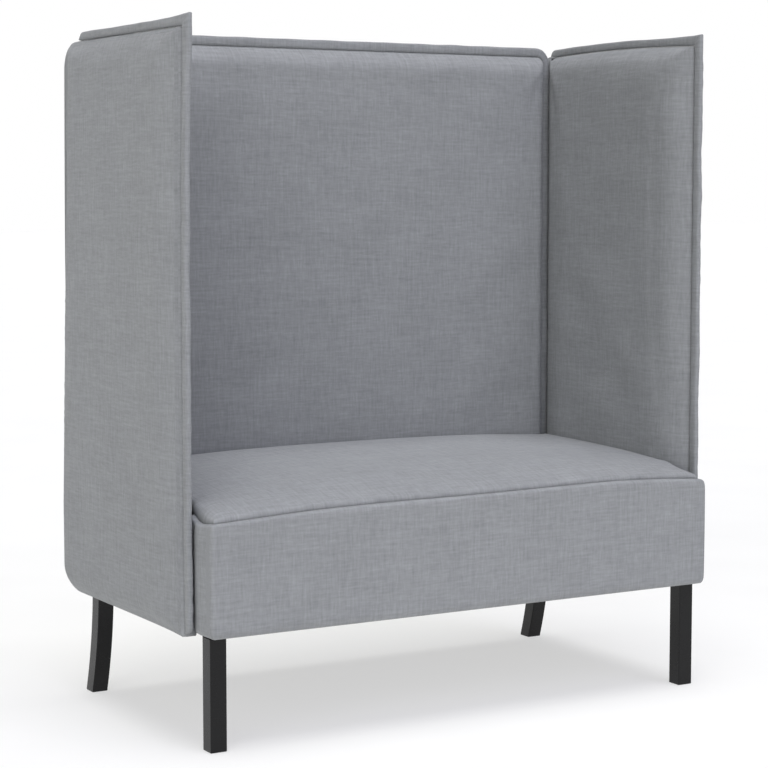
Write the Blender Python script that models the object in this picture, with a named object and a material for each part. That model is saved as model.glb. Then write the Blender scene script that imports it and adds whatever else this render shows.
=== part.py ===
"""High-back two-seat sofa with side wings.

Units are metres, +Z is up and the sofa faces -Y. Pieces are laid out with y measured from the front face
of the seat box. The parent empty then moves the sofa so that its origin is the middle of its footprint.
"""

import math

import bmesh
import bpy
from mathutils import Vector

# Clearance between pieces that touch and between foam and its cover, and the thickness of the backed fabric
GAP = 0.0003
FOAM_EASE = 0.0007
COVER = 0.002

# Legs
LEG_HEIGHT = 0.208
LEG_SIDE = 0.032
LEG_INSET_SIDE = 0.007
LEG_INSET_FRONT = 0.026
LEG_INSET_REAR = 0.022
LEG_SWEEP = 0.030
LEG_BEND_HEIGHT = 0.145
LEG_EDGE = 0.0015
LEG_STEPS = 8
GLIDE_RADIUS = 0.012
GLIDE_HEIGHT = 0.003

# Seat box
SEAT_WIDTH = 1.082
SEAT_DEPTH = 0.585
SEAM_HEIGHT = 0.2085
SEAM_RISE = 0.011
SIDE_HEIGHT = 0.182
BOX_CORNER = 0.012
EDGE_PULL = 0.010
FRONT_PULL = 0.003
PULL_HEIGHT = 0.028
SEAT_CROWN = 0.046
CROWN_SIDE_FALL = 0.007
CROWN_POWER = 0.6
EAR_STEP = 0.004
DUST_COVER = 0.0015

# Seat frame
RAIL_THICKNESS = 0.018
RAIL_HEIGHT = 0.165
RAIL_EDGE = 0.0015
CORNER_POST = 0.060
REAR_POST_HEIGHT = 0.090
STRAP_WIDTH = 0.060
STRAP_THICKNESS = 0.002
STRAP_SPACING = 0.270
STRAP_COUNT = 3

# Pads of the wings and the back
PAD_LIFT = 0.003
PAD_CROWN = 0.005
CORNER_MIN = 0.003
CORNER_MOST = 0.8
CROWN_ROUND = 0.5
CROWN_REACH = 0.44
FLANGE_WIDTH = 0.020
FLANGE_THICKNESS = 0.011
FLANGE_ROUND = 0.003
FLANGE_CHAMFER = 0.006

# Wings
WING_SETBACK = 0.071
WING_OVERHANG = 0.007
WING_TOP = 1.267
WING_INNER_PAD = 0.0185
WING_INNER_ROLL = 0.026
WING_OUTER_PAD = 0.0385
WING_OUTER_ROLL = 0.035
WING_FRAME = 0.028
WING_FLANGE_OFFSET = 0.018
WING_FLANGE_PEAK = 0.006
WING_FLANGE_END = 0.055
WING_CORNER = 0.006
WING_TOP_CORNER = 0.045
WING_FOOT_CORNER = 0.050
WING_INNER_CORNER = 0.020

# Back
BACK_TOP = 1.271
BACK_INNER_PAD = 0.0275
BACK_INNER_ROLL = 0.026
BACK_OUTER_PAD = 0.0435
BACK_OUTER_ROLL = 0.035
BACK_FRAME = 0.025
BACK_FLANGE_OFFSET = 0.010
BACK_CORNER = 0.015
BACK_FOOT_CORNER = 0.006

# Timber of the wing and back frames
FRAME_INSET = 0.005
WING_FRAME_INSET = 0.018
FRAME_WIDTH = 0.045
POST_CLEARANCE = 0.001

# Bolts
BOLT_RADIUS = 0.004
BOLT_HEAD_RADIUS = 0.008
BOLT_HEAD_HEIGHT = 0.005
BOLT_CLEARANCE = 0.0004
BOLT_GRIP = 0.016
WING_BOLT_HEIGHT = 0.068
HANGER_GRIP = 0.040

# Facets, and the least angle between faces that shows as an edge
SHARP_ANGLE = math.radians(35)
CORNER_STEPS = 4
ROLL_STEPS = 4
CROWN_STEPS = 2
FLANGE_STEPS = 2
FRONT_STEPS = 12
DEPTH_STEPS = 8
ROUND_SIDES = 12

# Planes that several pieces share
BOX_HALF = SEAT_WIDTH / 2
SKIN = COVER + GAP
RAIL_BOTTOM = LEG_HEIGHT + GAP + DUST_COVER + GAP
RAIL_TOP = RAIL_BOTTOM + RAIL_HEIGHT
FOAM_BOTTOM = RAIL_TOP + GAP + STRAP_THICKNESS + GAP
PAD_BOTTOM = LEG_HEIGHT + SIDE_HEIGHT + PAD_LIFT
RAIL_OUTER = BOX_HALF - SKIN
FRONT_RAIL_BACK = SKIN + RAIL_THICKNESS
REAR_RAIL_FRONT = SEAT_DEPTH - SKIN - RAIL_THICKNESS
BACK_PLANE = REAR_RAIL_FRONT - GAP - BACK_FRAME
BACK_FLANGE_FRONT = BACK_PLANE + BACK_FLANGE_OFFSET - FLANGE_THICKNESS / 2
WING_PLANE = BOX_HALF + GAP
WING_REAR = SEAT_DEPTH + WING_OVERHANG
WING_DEPTH = WING_REAR - WING_SETBACK
EAR_DEPTH = WING_SETBACK - GAP
SEAT_HALF_BETWEEN = BOX_HALF - WING_INNER_PAD - PAD_CROWN - GAP
SEAT_REAR = BACK_PLANE - GAP - BACK_INNER_PAD - PAD_CROWN - GAP
BACK_HALF = BOX_HALF - WING_INNER_PAD - PAD_CROWN - GAP
LEG_X = BOX_HALF - LEG_INSET_SIDE - LEG_SIDE / 2
FRONT_LEG_Y = LEG_INSET_FRONT + LEG_SIDE / 2
REAR_LEG_Y = SEAT_DEPTH - LEG_INSET_REAR - LEG_SIDE / 2
OVERALL_DEPTH = max(WING_REAR, REAR_LEG_Y + LEG_SWEEP + LEG_SIDE / 2)

SIDES = {"left": -1, "right": 1}


def clear_scene():
    for obj in list(bpy.data.objects):
        bpy.data.objects.remove(obj, do_unlink=True)


def make_material(name, colour, roughness, metallic=0.0):
    material = bpy.data.materials.new(name)
    material.use_nodes = True
    shader = material.node_tree.nodes["Principled BSDF"]
    shader.inputs["Base Color"].default_value = (*colour, 1.0)
    shader.inputs["Roughness"].default_value = roughness
    shader.inputs["Metallic"].default_value = metallic
    return material


def make_empty(name, location, parent=None):
    empty = bpy.data.objects.new(name, None)
    empty.location = location
    empty.parent = parent
    bpy.context.scene.collection.objects.link(empty)
    return empty


def make_object(name, bm, material, parent, location=(0, 0, 0), rotation=(0, 0, 0)):
    """Turns the bmesh into an object whose faces point outwards."""
    bmesh.ops.recalc_face_normals(bm, faces=bm.faces)
    mesh = bpy.data.meshes.new(name)
    bm.to_mesh(mesh)
    bm.free()
    mesh.shade_smooth()
    mesh.set_sharp_from_angle(angle=SHARP_ANGLE)
    if material:
        mesh.materials.append(material)
    obj = bpy.data.objects.new(name, mesh)
    obj.parent = parent
    obj.location = location
    obj.rotation_euler = rotation
    bpy.context.scene.collection.objects.link(obj)
    return obj


def joined(rings):
    """A bmesh with each ring joined to the next by a band of triangles, and its rings of vertices."""
    bm = bmesh.new()
    loops = [[bm.verts.new(point) for point in ring] for ring in rings]
    for near, far in zip(loops, loops[1:]):
        join_loops(bm, near, far)
    return bm, loops


def join_loops(bm, near, far):
    """Joins two loops by triangles with like diagonals, so that nested surfaces keep their distance."""
    for a, b, c, d in zip(near, near[1:] + near[:1], far[1:] + far[:1], far):
        bm.faces.new((a, b, c))
        bm.faces.new((a, c, d))


def loft(rings):
    """A closed body through rings of equal point counts, capped at both ends."""
    bm, loops = joined(rings)
    bm.faces.new(loops[0])
    bm.faces.new(loops[-1])
    return bm


def prism(outline, low, high):
    """A plan outline raised from one height to another."""
    return loft([[(x, y, low) for x, y in outline], [(x, y, high) for x, y in outline]])


def box(size):
    bm = bmesh.new()
    bmesh.ops.create_cube(bm, size=1.0)
    bmesh.ops.scale(bm, vec=Vector(size), verts=bm.verts)
    return bm


def place_box(name, low, high, material, parent):
    """A box between two corners, with its origin at its middle."""
    low = Vector(low)
    high = Vector(high)
    return make_object(name, box(high - low), material, parent, (low + high) / 2)


def mirrored(side, near, far):
    """Lowest and highest x of a piece between two distances from the middle, on one side."""
    return sorted((side * near, side * far))


def circle(radius, height, sides=ROUND_SIDES):
    turns = [2 * math.pi * (k + 0.5) / sides for k in range(sides)]
    return [(radius * math.cos(t), radius * math.sin(t), height) for t in turns]


def rounded(low_u, high_u, low_v, high_v, radii, steps=CORNER_STEPS):
    """A rectangle with round corners, from its lower left corner and anticlockwise."""
    corners = [(low_u, low_v, 1, 1), (high_u, low_v, -1, 1), (high_u, high_v, -1, -1), (low_u, high_v, 1, -1)]
    points = []
    for quarter, ((u, v, du, dv), radius) in enumerate(zip(corners, radii)):
        for k in range(steps + 1):
            turn = math.pi / 2 * (quarter + 2 + k / steps)
            points.append((u + radius * (du + math.cos(turn)), v + radius * (dv + math.sin(turn))))
    return points


def pad_profile(wall, rise, roll, reach, skin):
    """Inset and height of a pad's rings, from rim to crown, on a surface that lies skin deep in it."""
    profile = [(skin, 0.0)] if wall else []
    for k in range(ROLL_STEPS + 1):
        turn = math.pi / 2 * k / ROLL_STEPS
        profile.append((roll - (roll - skin) * math.cos(turn), wall + (rise - wall - skin) * math.sin(turn)))
    for k in range(1, CROWN_STEPS + 1):
        share = k / CROWN_STEPS
        crown = PAD_CROWN * math.sin(share * math.pi / 2)
        profile.append((roll + (reach - roll) * share, rise - skin + crown))
    return profile


def above(rings, start):
    """The rings of a pad above a height, begun by one that is cut at that height."""
    kept = [ring for ring in rings if -ring[0][1] > start]
    below = rings[-len(kept) - 1]
    share = (start + below[0][1]) / (below[0][1] - kept[0][0][1])
    return [[Vector(low).lerp(Vector(high), share) for low, high in zip(below, kept[0])], *kept]


class Panel:
    """One padded face of a wing or the back: an upright outline that swells towards local -Y."""

    def __init__(self, half, bottom, top, radii, wall, rise, roll, flat_foot=False):
        self.half = half
        self.bottom = bottom
        self.top = top
        self.radii = radii
        self.wall = wall
        self.rise = rise
        self.roll = roll
        self.flat_foot = flat_foot
        self.reach = CROWN_REACH * min(2 * half, top - bottom)

    def ring(self, inset, height, skin):
        edge = self.half - inset
        foot = self.bottom + (skin if self.flat_foot else inset)
        top = self.top - inset
        least = CORNER_MIN + CROWN_ROUND * max(inset - self.roll, 0.0)
        most = CORNER_MOST * min(edge, (top - foot) / 2)
        radii = [min(max(radius - inset, least), most) for radius in self.radii]
        return [(u, -height, v) for u, v in rounded(-edge, edge, foot, top, radii)]

    def rings(self, skin):
        """The pad's rings on a surface that lies skin deep in it."""
        profile = pad_profile(self.wall, self.rise, self.roll, self.reach, skin)
        return [self.ring(inset, height, skin) for inset, height in profile]

    def cover(self):
        return loft(self.rings(0.0)[::-1] + self.rings(COVER))

    def foam(self, start):
        return loft(above(self.rings(COVER + FOAM_EASE), start))


def make_bolt(name, length, material, parent, location, rotation, targets):
    """A headed bolt along its local +Z, with a hole for it in each piece that it passes."""
    head = [circle(BOLT_HEAD_RADIUS, -BOLT_HEAD_HEIGHT), circle(BOLT_HEAD_RADIUS, 0.0)]
    shank = [circle(BOLT_RADIUS, 0.0), circle(BOLT_RADIUS, length)]
    make_object(name, loft(head + shank), material, parent, location, rotation)
    drill(name, -BOLT_HEAD_HEIGHT, length, parent, location, rotation, targets)


def drill(name, start, end, parent, location, rotation, targets):
    """Cuts a bolt hole, along local +Z from start to end, in each target."""
    radius = BOLT_RADIUS + BOLT_CLEARANCE
    hole = loft([circle(radius, start - BOLT_CLEARANCE), circle(radius, end + BOLT_CLEARANCE)])
    cut(make_object(name + "_hole", hole, None, parent, location, rotation), targets)


def cut(cutter, targets):
    cutter.hide_render = True
    cutter.display_type = "WIRE"
    for target in targets:
        boolean = target.modifiers.new(cutter.name, "BOOLEAN")
        boolean.operation = "DIFFERENCE"
        boolean.object = cutter


def seam_height(x):
    """Height of the front seam, which arches slightly between the ends of the seat box."""
    return LEG_HEIGHT + SEAM_HEIGHT + SEAM_RISE * (1 - (x / BOX_HALF) ** 2)


def border_outline(inset):
    """Plan of the seat box, from its front left corner and anticlockwise, with points along the front."""
    corner = BOX_CORNER - inset
    edge = BOX_HALF - inset
    plan = rounded(-edge, edge, inset, SEAT_DEPTH - inset, [corner] * 4)
    corner_points = CORNER_STEPS + 1
    span = edge - corner
    front = [(span * (2 * k / FRONT_STEPS - 1), inset) for k in range(1, FRONT_STEPS)]
    side_steps = [EAR_DEPTH - EAR_STEP, EAR_DEPTH]
    right = [(edge, y) for y in side_steps]
    left = [(-edge, y) for y in reversed(side_steps)]
    front_corners = plan[:corner_points] + front + plan[corner_points : 2 * corner_points]
    return front_corners + right + plan[2 * corner_points :] + left


def border_loop(inset, level):
    """Points of the border at one level: its foot, its shoulder where the pull-in starts, or its seam."""
    points = []
    for x, y in border_outline(inset):
        exposed = y < EAR_DEPTH
        top = seam_height(x) if exposed else LEG_HEIGHT + SIDE_HEIGHT
        shoulder = min(seam_height(x) - PULL_HEIGHT, top - COVER)
        heights = {"foot": LEG_HEIGHT, "shoulder": shoulder, "seam": top}
        if level == "seam" and exposed:
            x -= EDGE_PULL * x / BOX_HALF
            y += FRONT_PULL * (1 - y / EAR_DEPTH)
        points.append((x, y, heights[level]))
    return points


def make_border(material, parent):
    """The fabric band round the seat box, drawn in at the ends of its front seam."""
    levels = ["foot", "shoulder", "seam"]
    outer = [border_loop(0.0, level) for level in levels]
    inner = [border_loop(COVER, level) for level in reversed(levels)]
    bm, loops = joined(outer + inner)
    join_loops(bm, loops[-1], loops[0])
    return make_object("seat_border", bm, material, parent)


def seat_crown(x, y):
    """Swell of the seat above its seam, fading out towards the ends of the front ears."""
    depth_share = min(max(y / SEAT_REAR, 0.0), 1.0) ** CROWN_POWER
    swell = SEAT_CROWN - CROWN_SIDE_FALL * (x / SEAT_HALF_BETWEEN) ** 2
    ear_end = BOX_HALF - EDGE_PULL
    ear_share = (ear_end - abs(x)) / (ear_end - SEAT_HALF_BETWEEN)
    return swell * math.sin(math.pi / 2 * depth_share) * min(max(ear_share, 0.0), 1.0)


def seat_top_rows(inset):
    """Rows of x, each with its y, of the T-shaped seat top, drawn in by inset where the border meets it."""
    ear = BOX_HALF - EDGE_PULL - inset
    corner = BOX_CORNER - inset
    front = FRONT_PULL + inset
    shares = [2 * k / FRONT_STEPS - 1 for k in range(FRONT_STEPS + 1)]
    turns = [math.pi / 2 * k / CORNER_STEPS for k in range(CORNER_STEPS + 1)]
    ears = [(front + corner * (1 - math.cos(t)), ear - corner * (1 - math.sin(t))) for t in turns]
    rows = []
    for y, end in [*ears, (EAR_DEPTH, ear)]:
        inner = min(SEAT_HALF_BETWEEN, end - EAR_STEP)
        rows.append((y, [-end, *(inner * share for share in shares), end]))
    for k in range(1, DEPTH_STEPS + 1):
        y = EAR_DEPTH + (SEAT_REAR - EAR_DEPTH) * k / DEPTH_STEPS
        rows.append((y, [None, *(SEAT_HALF_BETWEEN * share for share in shares), None]))
    return rows


def seat_top(inset, drop):
    """The crowned top of the seat as a sheet, drawn in by inset and lowered by drop."""
    bm = bmesh.new()
    grid = []
    for (y, row), (cover_y, cover_row) in zip(seat_top_rows(inset), seat_top_rows(0.0)):
        verts = []
        for x, cover_x in zip(row, cover_row):
            if x is None:
                verts.append(None)
                continue
            height = seam_height(cover_x) + SKIN + seat_crown(cover_x, cover_y) - drop
            verts.append(bm.verts.new((x, y, height)))
        grid.append(verts)
    for near, far in zip(grid, grid[1:]):
        for corners in zip(near, near[1:], far[1:], far):
            if all(corners):
                bm.faces.new(corners)
    return bm


def thicken_down(bm, depth=None, floor=None):
    """Extrudes a sheet downwards, by a depth or to a flat floor."""
    sheet = list(bm.faces)
    grown = bmesh.ops.extrude_face_region(bm, geom=sheet, use_keep_orig=True)
    for vert in (item for item in grown["geom"] if isinstance(item, bmesh.types.BMVert)):
        vert.co.z = vert.co.z - depth if floor is None else floor
    return bm


def flange_body(outline_at):
    """A standing sewn band with round edges, centred on local y = 0. outline_at gives its shrunk outline."""
    flat = FLANGE_THICKNESS / 2 - FLANGE_ROUND
    turns = [math.pi / 2 * k / FLANGE_STEPS for k in range(FLANGE_STEPS + 1)]
    edge = [(FLANGE_ROUND * (1 - math.cos(t)), flat + FLANGE_ROUND * math.sin(t)) for t in turns]
    profile = [(shrink, -depth) for shrink, depth in reversed(edge)] + edge
    return loft([[(u, depth, v) for u, v in outline_at(shrink)] for shrink, depth in profile])


def wing_flange_outline(shrink):
    """Side view of a wing's flange: up the front edge to a peaked corner and back along the top."""
    tip = shrink - FLANGE_WIDTH
    seam = -GAP - shrink
    under = WING_TOP + GAP + shrink
    top_edge = WING_TOP + FLANGE_WIDTH - shrink
    end = WING_DEPTH - WING_FLANGE_END - shrink
    foot = LEG_HEIGHT + FLANGE_CHAMFER + shrink
    front = [(tip, top_edge + WING_FLANGE_PEAK), (tip, foot + FLANGE_CHAMFER), (tip + FLANGE_CHAMFER, foot)]
    inside = [(seam, foot), (seam, under), (end, under)]
    rear = [(end, top_edge - FLANGE_CHAMFER), (end - FLANGE_CHAMFER, top_edge), (FLANGE_WIDTH, top_edge)]
    return front + inside + rear


def back_flange_outline(shrink):
    """Front view of the back's flange: up one side, over the top and down the other."""
    foot = PAD_BOTTOM + FLANGE_CHAMFER + shrink
    reach = FLANGE_WIDTH - shrink
    ease = GAP + shrink
    far = BACK_HALF + reach
    near = BACK_HALF + ease
    outside = rounded(-far, far, foot, BACK_TOP + reach, [BACK_CORNER + reach] * 4)
    inside = rounded(-near, near, foot, BACK_TOP + ease, [BACK_CORNER + ease] * 4)
    top_corners = slice(2 * (CORNER_STEPS + 1), None)
    over = [(far, foot), *outside[top_corners], (-far, foot)]
    under = [(near, foot), *inside[top_corners], (-near, foot)]
    return over + under[::-1]


def make_leg(name, centre_y, side, sweep, materials, parent):
    """A square leg, its lower part swept back, on a glide and with a hanger bolt in its top."""
    x = side * LEG_X
    half = LEG_SIDE / 2
    bottom = GLIDE_HEIGHT + GAP
    steps = LEG_STEPS if sweep else 1
    rings = []
    for k in range(steps + 1):
        height = LEG_HEIGHT + (bottom - LEG_HEIGHT) * k / steps
        bend = max(LEG_BEND_HEIGHT - height, 0.0) / (LEG_BEND_HEIGHT - bottom)
        back = sweep * bend**2
        square = rounded(-half, half, back - half, back + half, [LEG_EDGE] * 4, 1)
        rings.append([(u, v, height) for u, v in square])
    leg = make_object("leg_" + name, loft(rings), materials["paint"], parent, (x, centre_y, 0))
    glide = loft([circle(GLIDE_RADIUS, 0.0), circle(GLIDE_RADIUS, GLIDE_HEIGHT)])
    make_object("glide_" + name, glide, materials["plastic"], parent, (x, centre_y + sweep, 0))
    return leg


def make_hanger(name, x, y, material, parent, targets):
    """The double-ended bolt between a leg and its corner post."""
    low = LEG_HEIGHT - HANGER_GRIP
    high = RAIL_BOTTOM + HANGER_GRIP
    place = (x, y, 0)
    shank = loft([circle(BOLT_RADIUS, low), circle(BOLT_RADIUS, high)])
    make_object("leg_bolt_" + name, shank, material, parent, place)
    drill("leg_bolt_" + name, low, high, parent, place, (0, 0, 0), targets)


def make_seat(materials, parent):
    """The seat box: legs, timber frame, straps, foam and covers. Returns what other bolts pass through."""
    pieces = {}
    timber = materials["timber"]
    corner = BOX_CORNER - SKIN
    rail_rear = SEAT_DEPTH - SKIN
    front_corners = [corner, corner, RAIL_EDGE, RAIL_EDGE]
    rear_corners = [RAIL_EDGE, RAIL_EDGE, corner, corner]
    front = rounded(-RAIL_OUTER, RAIL_OUTER, SKIN, FRONT_RAIL_BACK, front_corners)
    rear = rounded(-RAIL_OUTER, RAIL_OUTER, REAR_RAIL_FRONT, rail_rear, rear_corners)
    make_object("seat_front_rail", prism(front, RAIL_BOTTOM, RAIL_TOP), timber, parent)
    pieces["rear_rail"] = make_object("seat_rear_rail", prism(rear, RAIL_BOTTOM, RAIL_TOP), timber, parent)
    pieces["border"] = make_border(materials["fabric"], parent)

    post_front = FRONT_RAIL_BACK + GAP
    post_rear = REAR_RAIL_FRONT - GAP
    dust_low = (-RAIL_OUTER + corner, SKIN + corner, LEG_HEIGHT + GAP)
    dust_high = (RAIL_OUTER - corner, rail_rear - corner, LEG_HEIGHT + GAP + DUST_COVER)
    dust = place_box("seat_dust_cover", dust_low, dust_high, materials["dust"], parent)
    for label, side in SIDES.items():
        low, high = mirrored(side, RAIL_OUTER - CORNER_POST, RAIL_OUTER)
        front_post = place_box(
            f"seat_front_{label}_post",
            (low, post_front, RAIL_BOTTOM),
            (high, post_front + CORNER_POST, RAIL_TOP),
            timber,
            parent,
        )
        rear_post = place_box(
            f"seat_rear_{label}_post",
            (low, post_rear - CORNER_POST, RAIL_BOTTOM),
            (high, post_rear, RAIL_BOTTOM + REAR_POST_HEIGHT),
            timber,
            parent,
        )
        low, high = mirrored(side, RAIL_OUTER - RAIL_THICKNESS, RAIL_OUTER)
        side_rail = place_box(
            f"seat_{label}_rail",
            (low, post_front + CORNER_POST + GAP, RAIL_BOTTOM),
            (high, post_rear - CORNER_POST - GAP, RAIL_TOP),
            timber,
            parent,
        )
        pieces[label] = {"front": side_rail, "rear": rear_post}
        front_leg = make_leg(f"front_{label}", FRONT_LEG_Y, side, 0.0, materials, parent)
        rear_leg = make_leg(f"rear_{label}", REAR_LEG_Y, side, LEG_SWEEP, materials, parent)
        steel = materials["steel"]
        make_hanger(f"front_{label}", side * LEG_X, FRONT_LEG_Y, steel, parent, [front_leg, dust, front_post])
        make_hanger(f"rear_{label}", side * LEG_X, REAR_LEG_Y, steel, parent, [rear_leg, dust, rear_post])

    for k in range(STRAP_COUNT):
        x = STRAP_SPACING * (k - (STRAP_COUNT - 1) / 2)
        place_box(
            f"seat_strap_{k + 1}",
            (x - STRAP_WIDTH / 2, SKIN + corner, RAIL_TOP + GAP),
            (x + STRAP_WIDTH / 2, rail_rear - corner, RAIL_TOP + GAP + STRAP_THICKNESS),
            materials["webbing"],
            parent,
        )
    foam = thicken_down(seat_top(SKIN, COVER + FOAM_EASE), floor=FOAM_BOTTOM)
    make_object("seat_foam", foam, materials["foam"], parent)
    make_object("seat_top_cover", thicken_down(seat_top(0.0, 0.0), depth=COVER), materials["fabric"], parent)
    return pieces


def make_panel_pieces(prefix, names, panel, start, materials, parent, location, turn):
    """The cover and the foam of one padded face."""
    cover_name, foam_name = names
    rotation = (0, 0, math.radians(turn))
    foam = panel.foam(start)
    cover = panel.cover()
    make_object(f"{prefix}_{foam_name}", foam, materials["foam"], parent, location, rotation)
    return make_object(f"{prefix}_{cover_name}", cover, materials["fabric"], parent, location, rotation)


def make_wing(label, side, seat, materials, parent):
    """A wing: timber frame, a thin inner pad, an outer pad that wraps the frame, a flange and two bolts."""
    prefix = f"{label}_wing"
    timber = materials["timber"]

    inner_rear = BACK_FLANGE_FRONT - GAP
    inner_half = (inner_rear - WING_SETBACK) / 2
    front_left = [WING_CORNER, WING_CORNER, WING_INNER_CORNER, WING_CORNER]
    front_right = [WING_CORNER, WING_CORNER, WING_CORNER, WING_INNER_CORNER]
    radii = front_left if side < 0 else front_right
    inner = Panel(inner_half, PAD_BOTTOM, WING_TOP, radii, 0.0, WING_INNER_PAD, WING_INNER_ROLL)
    place = (side * BOX_HALF, WING_SETBACK + inner_half, 0)
    turn = -90 * side
    make_panel_pieces(prefix, ("inner_cover", "inner_foam"), inner, 0.0, materials, parent, place, turn)

    outer_half = WING_DEPTH / 2
    front_left = [WING_CORNER, WING_FOOT_CORNER, WING_TOP_CORNER, WING_CORNER]
    front_right = [WING_FOOT_CORNER, WING_CORNER, WING_CORNER, WING_TOP_CORNER]
    radii = front_left if side > 0 else front_right
    wall = WING_FLANGE_OFFSET + FLANGE_THICKNESS / 2
    outer = Panel(outer_half, LEG_HEIGHT, WING_TOP, radii, wall, WING_OUTER_PAD, WING_OUTER_ROLL)
    place = (side * WING_PLANE, WING_SETBACK + outer_half, 0)
    start = WING_FRAME + GAP
    turn = 90 * side
    make_panel_pieces(prefix, ("outer_cover", "outer_foam"), outer, start, materials, parent, place, turn)

    low_x, high_x = mirrored(side, WING_PLANE, WING_PLANE + WING_FRAME)
    front = WING_SETBACK + COVER + WING_FRAME_INSET
    rear = WING_REAR - COVER - WING_FRAME_INSET
    bottom = LEG_HEIGHT + COVER + FRAME_INSET
    top = WING_TOP - COVER - WING_FRAME_INSET
    posts = {}
    for end, near in (("front", front), ("rear", rear - FRAME_WIDTH)):
        low = (low_x, near, bottom + WING_FOOT_CORNER)
        high = (high_x, near + FRAME_WIDTH, top - WING_TOP_CORNER)
        posts[end] = place_box(f"{prefix}_{end}_post", low, high, timber, parent)
    rails = (
        ("bottom", bottom, bottom + WING_FOOT_CORNER - GAP),
        ("top", top - WING_TOP_CORNER + GAP, top),
    )
    for name, low_z, high_z in rails:
        low = (low_x, front, low_z)
        high = (high_x, rear - (high_z - low_z), high_z)
        place_box(f"{prefix}_{name}_rail", low, high, timber, parent)

    place = (side * (WING_PLANE + WING_FLANGE_OFFSET), WING_SETBACK, 0)
    flange = flange_body(wing_flange_outline)
    make_object(f"{prefix}_flange", flange, materials["fabric"], parent, place, (0, 0, math.radians(90)))

    bolt_z = LEG_HEIGHT + WING_BOLT_HEIGHT
    side_rail_front = FRONT_RAIL_BACK + GAP + CORNER_POST + GAP
    rear_post_back = REAR_RAIL_FRONT - GAP
    front_y = (side_rail_front + front + FRAME_WIDTH) / 2
    rear_y = (rear - FRAME_WIDTH + rear_post_back) / 2
    for end, y, depth in (("front", front_y, RAIL_THICKNESS), ("rear", rear_y, CORNER_POST)):
        head_x = RAIL_OUTER - depth - GAP
        length = WING_PLANE - head_x + BOLT_GRIP
        targets = [seat[label][end], seat["border"], posts[end]]
        rotation = (0, side * math.radians(90), 0)
        place = (side * head_x, y, bolt_z)
        make_bolt(f"{prefix}_{end}_bolt", length, materials["steel"], parent, place, rotation, targets)


def make_back(seat, materials, parent):
    """The back: timber frame on the rear corner posts, a front pad, a rear pad and a flange."""
    timber = materials["timber"]
    radii = [BACK_FOOT_CORNER, BACK_FOOT_CORNER, BACK_CORNER, BACK_CORNER]
    inner = Panel(BACK_HALF, PAD_BOTTOM, BACK_TOP, radii, 0.0, BACK_INNER_PAD, BACK_INNER_ROLL)
    place = (0, BACK_PLANE - GAP, 0)
    make_panel_pieces("back", ("inner_cover", "inner_foam"), inner, 0.0, materials, parent, place, 0)
    wall = BACK_FLANGE_OFFSET + FLANGE_THICKNESS / 2
    outer = Panel(BACK_HALF, PAD_BOTTOM, BACK_TOP, radii, wall, BACK_OUTER_PAD, BACK_OUTER_ROLL, True)
    place = (0, BACK_PLANE, 0)
    start = BACK_FRAME + GAP
    names = ("outer_cover", "outer_foam")
    rear_cover = make_panel_pieces("back", names, outer, start, materials, parent, place, 180)

    far = BACK_HALF - COVER - FRAME_INSET
    near = far - FRAME_WIDTH
    post_bottom = RAIL_BOTTOM + REAR_POST_HEIGHT + GAP
    rail_bottom = PAD_BOTTOM + COVER + FRAME_INSET
    top = BACK_TOP - COVER - FRAME_INSET
    rear = BACK_PLANE + BACK_FRAME
    for label, side in SIDES.items():
        low, high = mirrored(side, near, far)
        post_low = Vector((low, BACK_PLANE, post_bottom))
        post_high = Vector((high, rear, top - FRAME_WIDTH - GAP))
        post = place_box(f"back_{label}_post", post_low, post_high, timber, parent)
        spare = Vector((POST_CLEARANCE,) * 3)
        slot = place_box(f"back_{label}_post_slot", post_low - spare, post_high + spare, None, parent)
        cut(slot, [rear_cover])
        length = BACK_FRAME + GAP + BOLT_GRIP
        place = (side * (near + far) / 2, BACK_PLANE - GAP, (post_bottom + RAIL_TOP) / 2)
        rotation = (math.radians(-90), 0, 0)
        targets = [post, seat["rear_rail"]]
        make_bolt(f"back_{label}_bolt", length, materials["steel"], parent, place, rotation, targets)
    end = far - BACK_CORNER
    place_box("back_top_rail", (-end, BACK_PLANE, top - FRAME_WIDTH), (end, rear, top), timber, parent)
    inside = near - GAP
    place_box(
        "back_bottom_rail",
        (-inside, BACK_PLANE, rail_bottom),
        (inside, rear, rail_bottom + FRAME_WIDTH),
        timber,
        parent,
    )

    place = (0, BACK_PLANE + BACK_FLANGE_OFFSET, 0)
    make_object("back_flange", flange_body(back_flange_outline), materials["fabric"], parent, place)


def main():
    clear_scene()
    materials = {
        "fabric": make_material("grey_woven_fabric", (0.262, 0.270, 0.284), 0.92),
        "foam": make_material("cream_foam", (0.78, 0.70, 0.50), 0.95),
        "timber": make_material("pale_timber", (0.55, 0.40, 0.24), 0.70),
        "paint": make_material("black_painted_wood", (0.012, 0.012, 0.013), 0.38),
        "plastic": make_material("black_plastic", (0.02, 0.02, 0.02), 0.55),
        "steel": make_material("zinc_plated_steel", (0.62, 0.62, 0.60), 0.35, 1.0),
        "webbing": make_material("woven_webbing", (0.18, 0.16, 0.13), 0.85),
        "dust": make_material("black_dust_cloth", (0.03, 0.03, 0.03), 0.95),
    }
    sofa = make_empty("sofa", (0, -OVERALL_DEPTH / 2, 0))
    seat = make_seat(materials, make_empty("seat_assembly", (0, 0, 0), sofa))
    for label, side in SIDES.items():
        make_wing(label, side, seat, materials, make_empty(f"{label}_wing_assembly", (0, 0, 0), sofa))
    make_back(seat, materials, make_empty("back_assembly", (0, 0, 0), sofa))


main()
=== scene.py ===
"""Looks of the high-back two-seat sofa: covers, bands, legs, materials, camera and light."""
import math

import bmesh
import bpy
import numpy as np
from mathutils import Matrix, Vector


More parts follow.
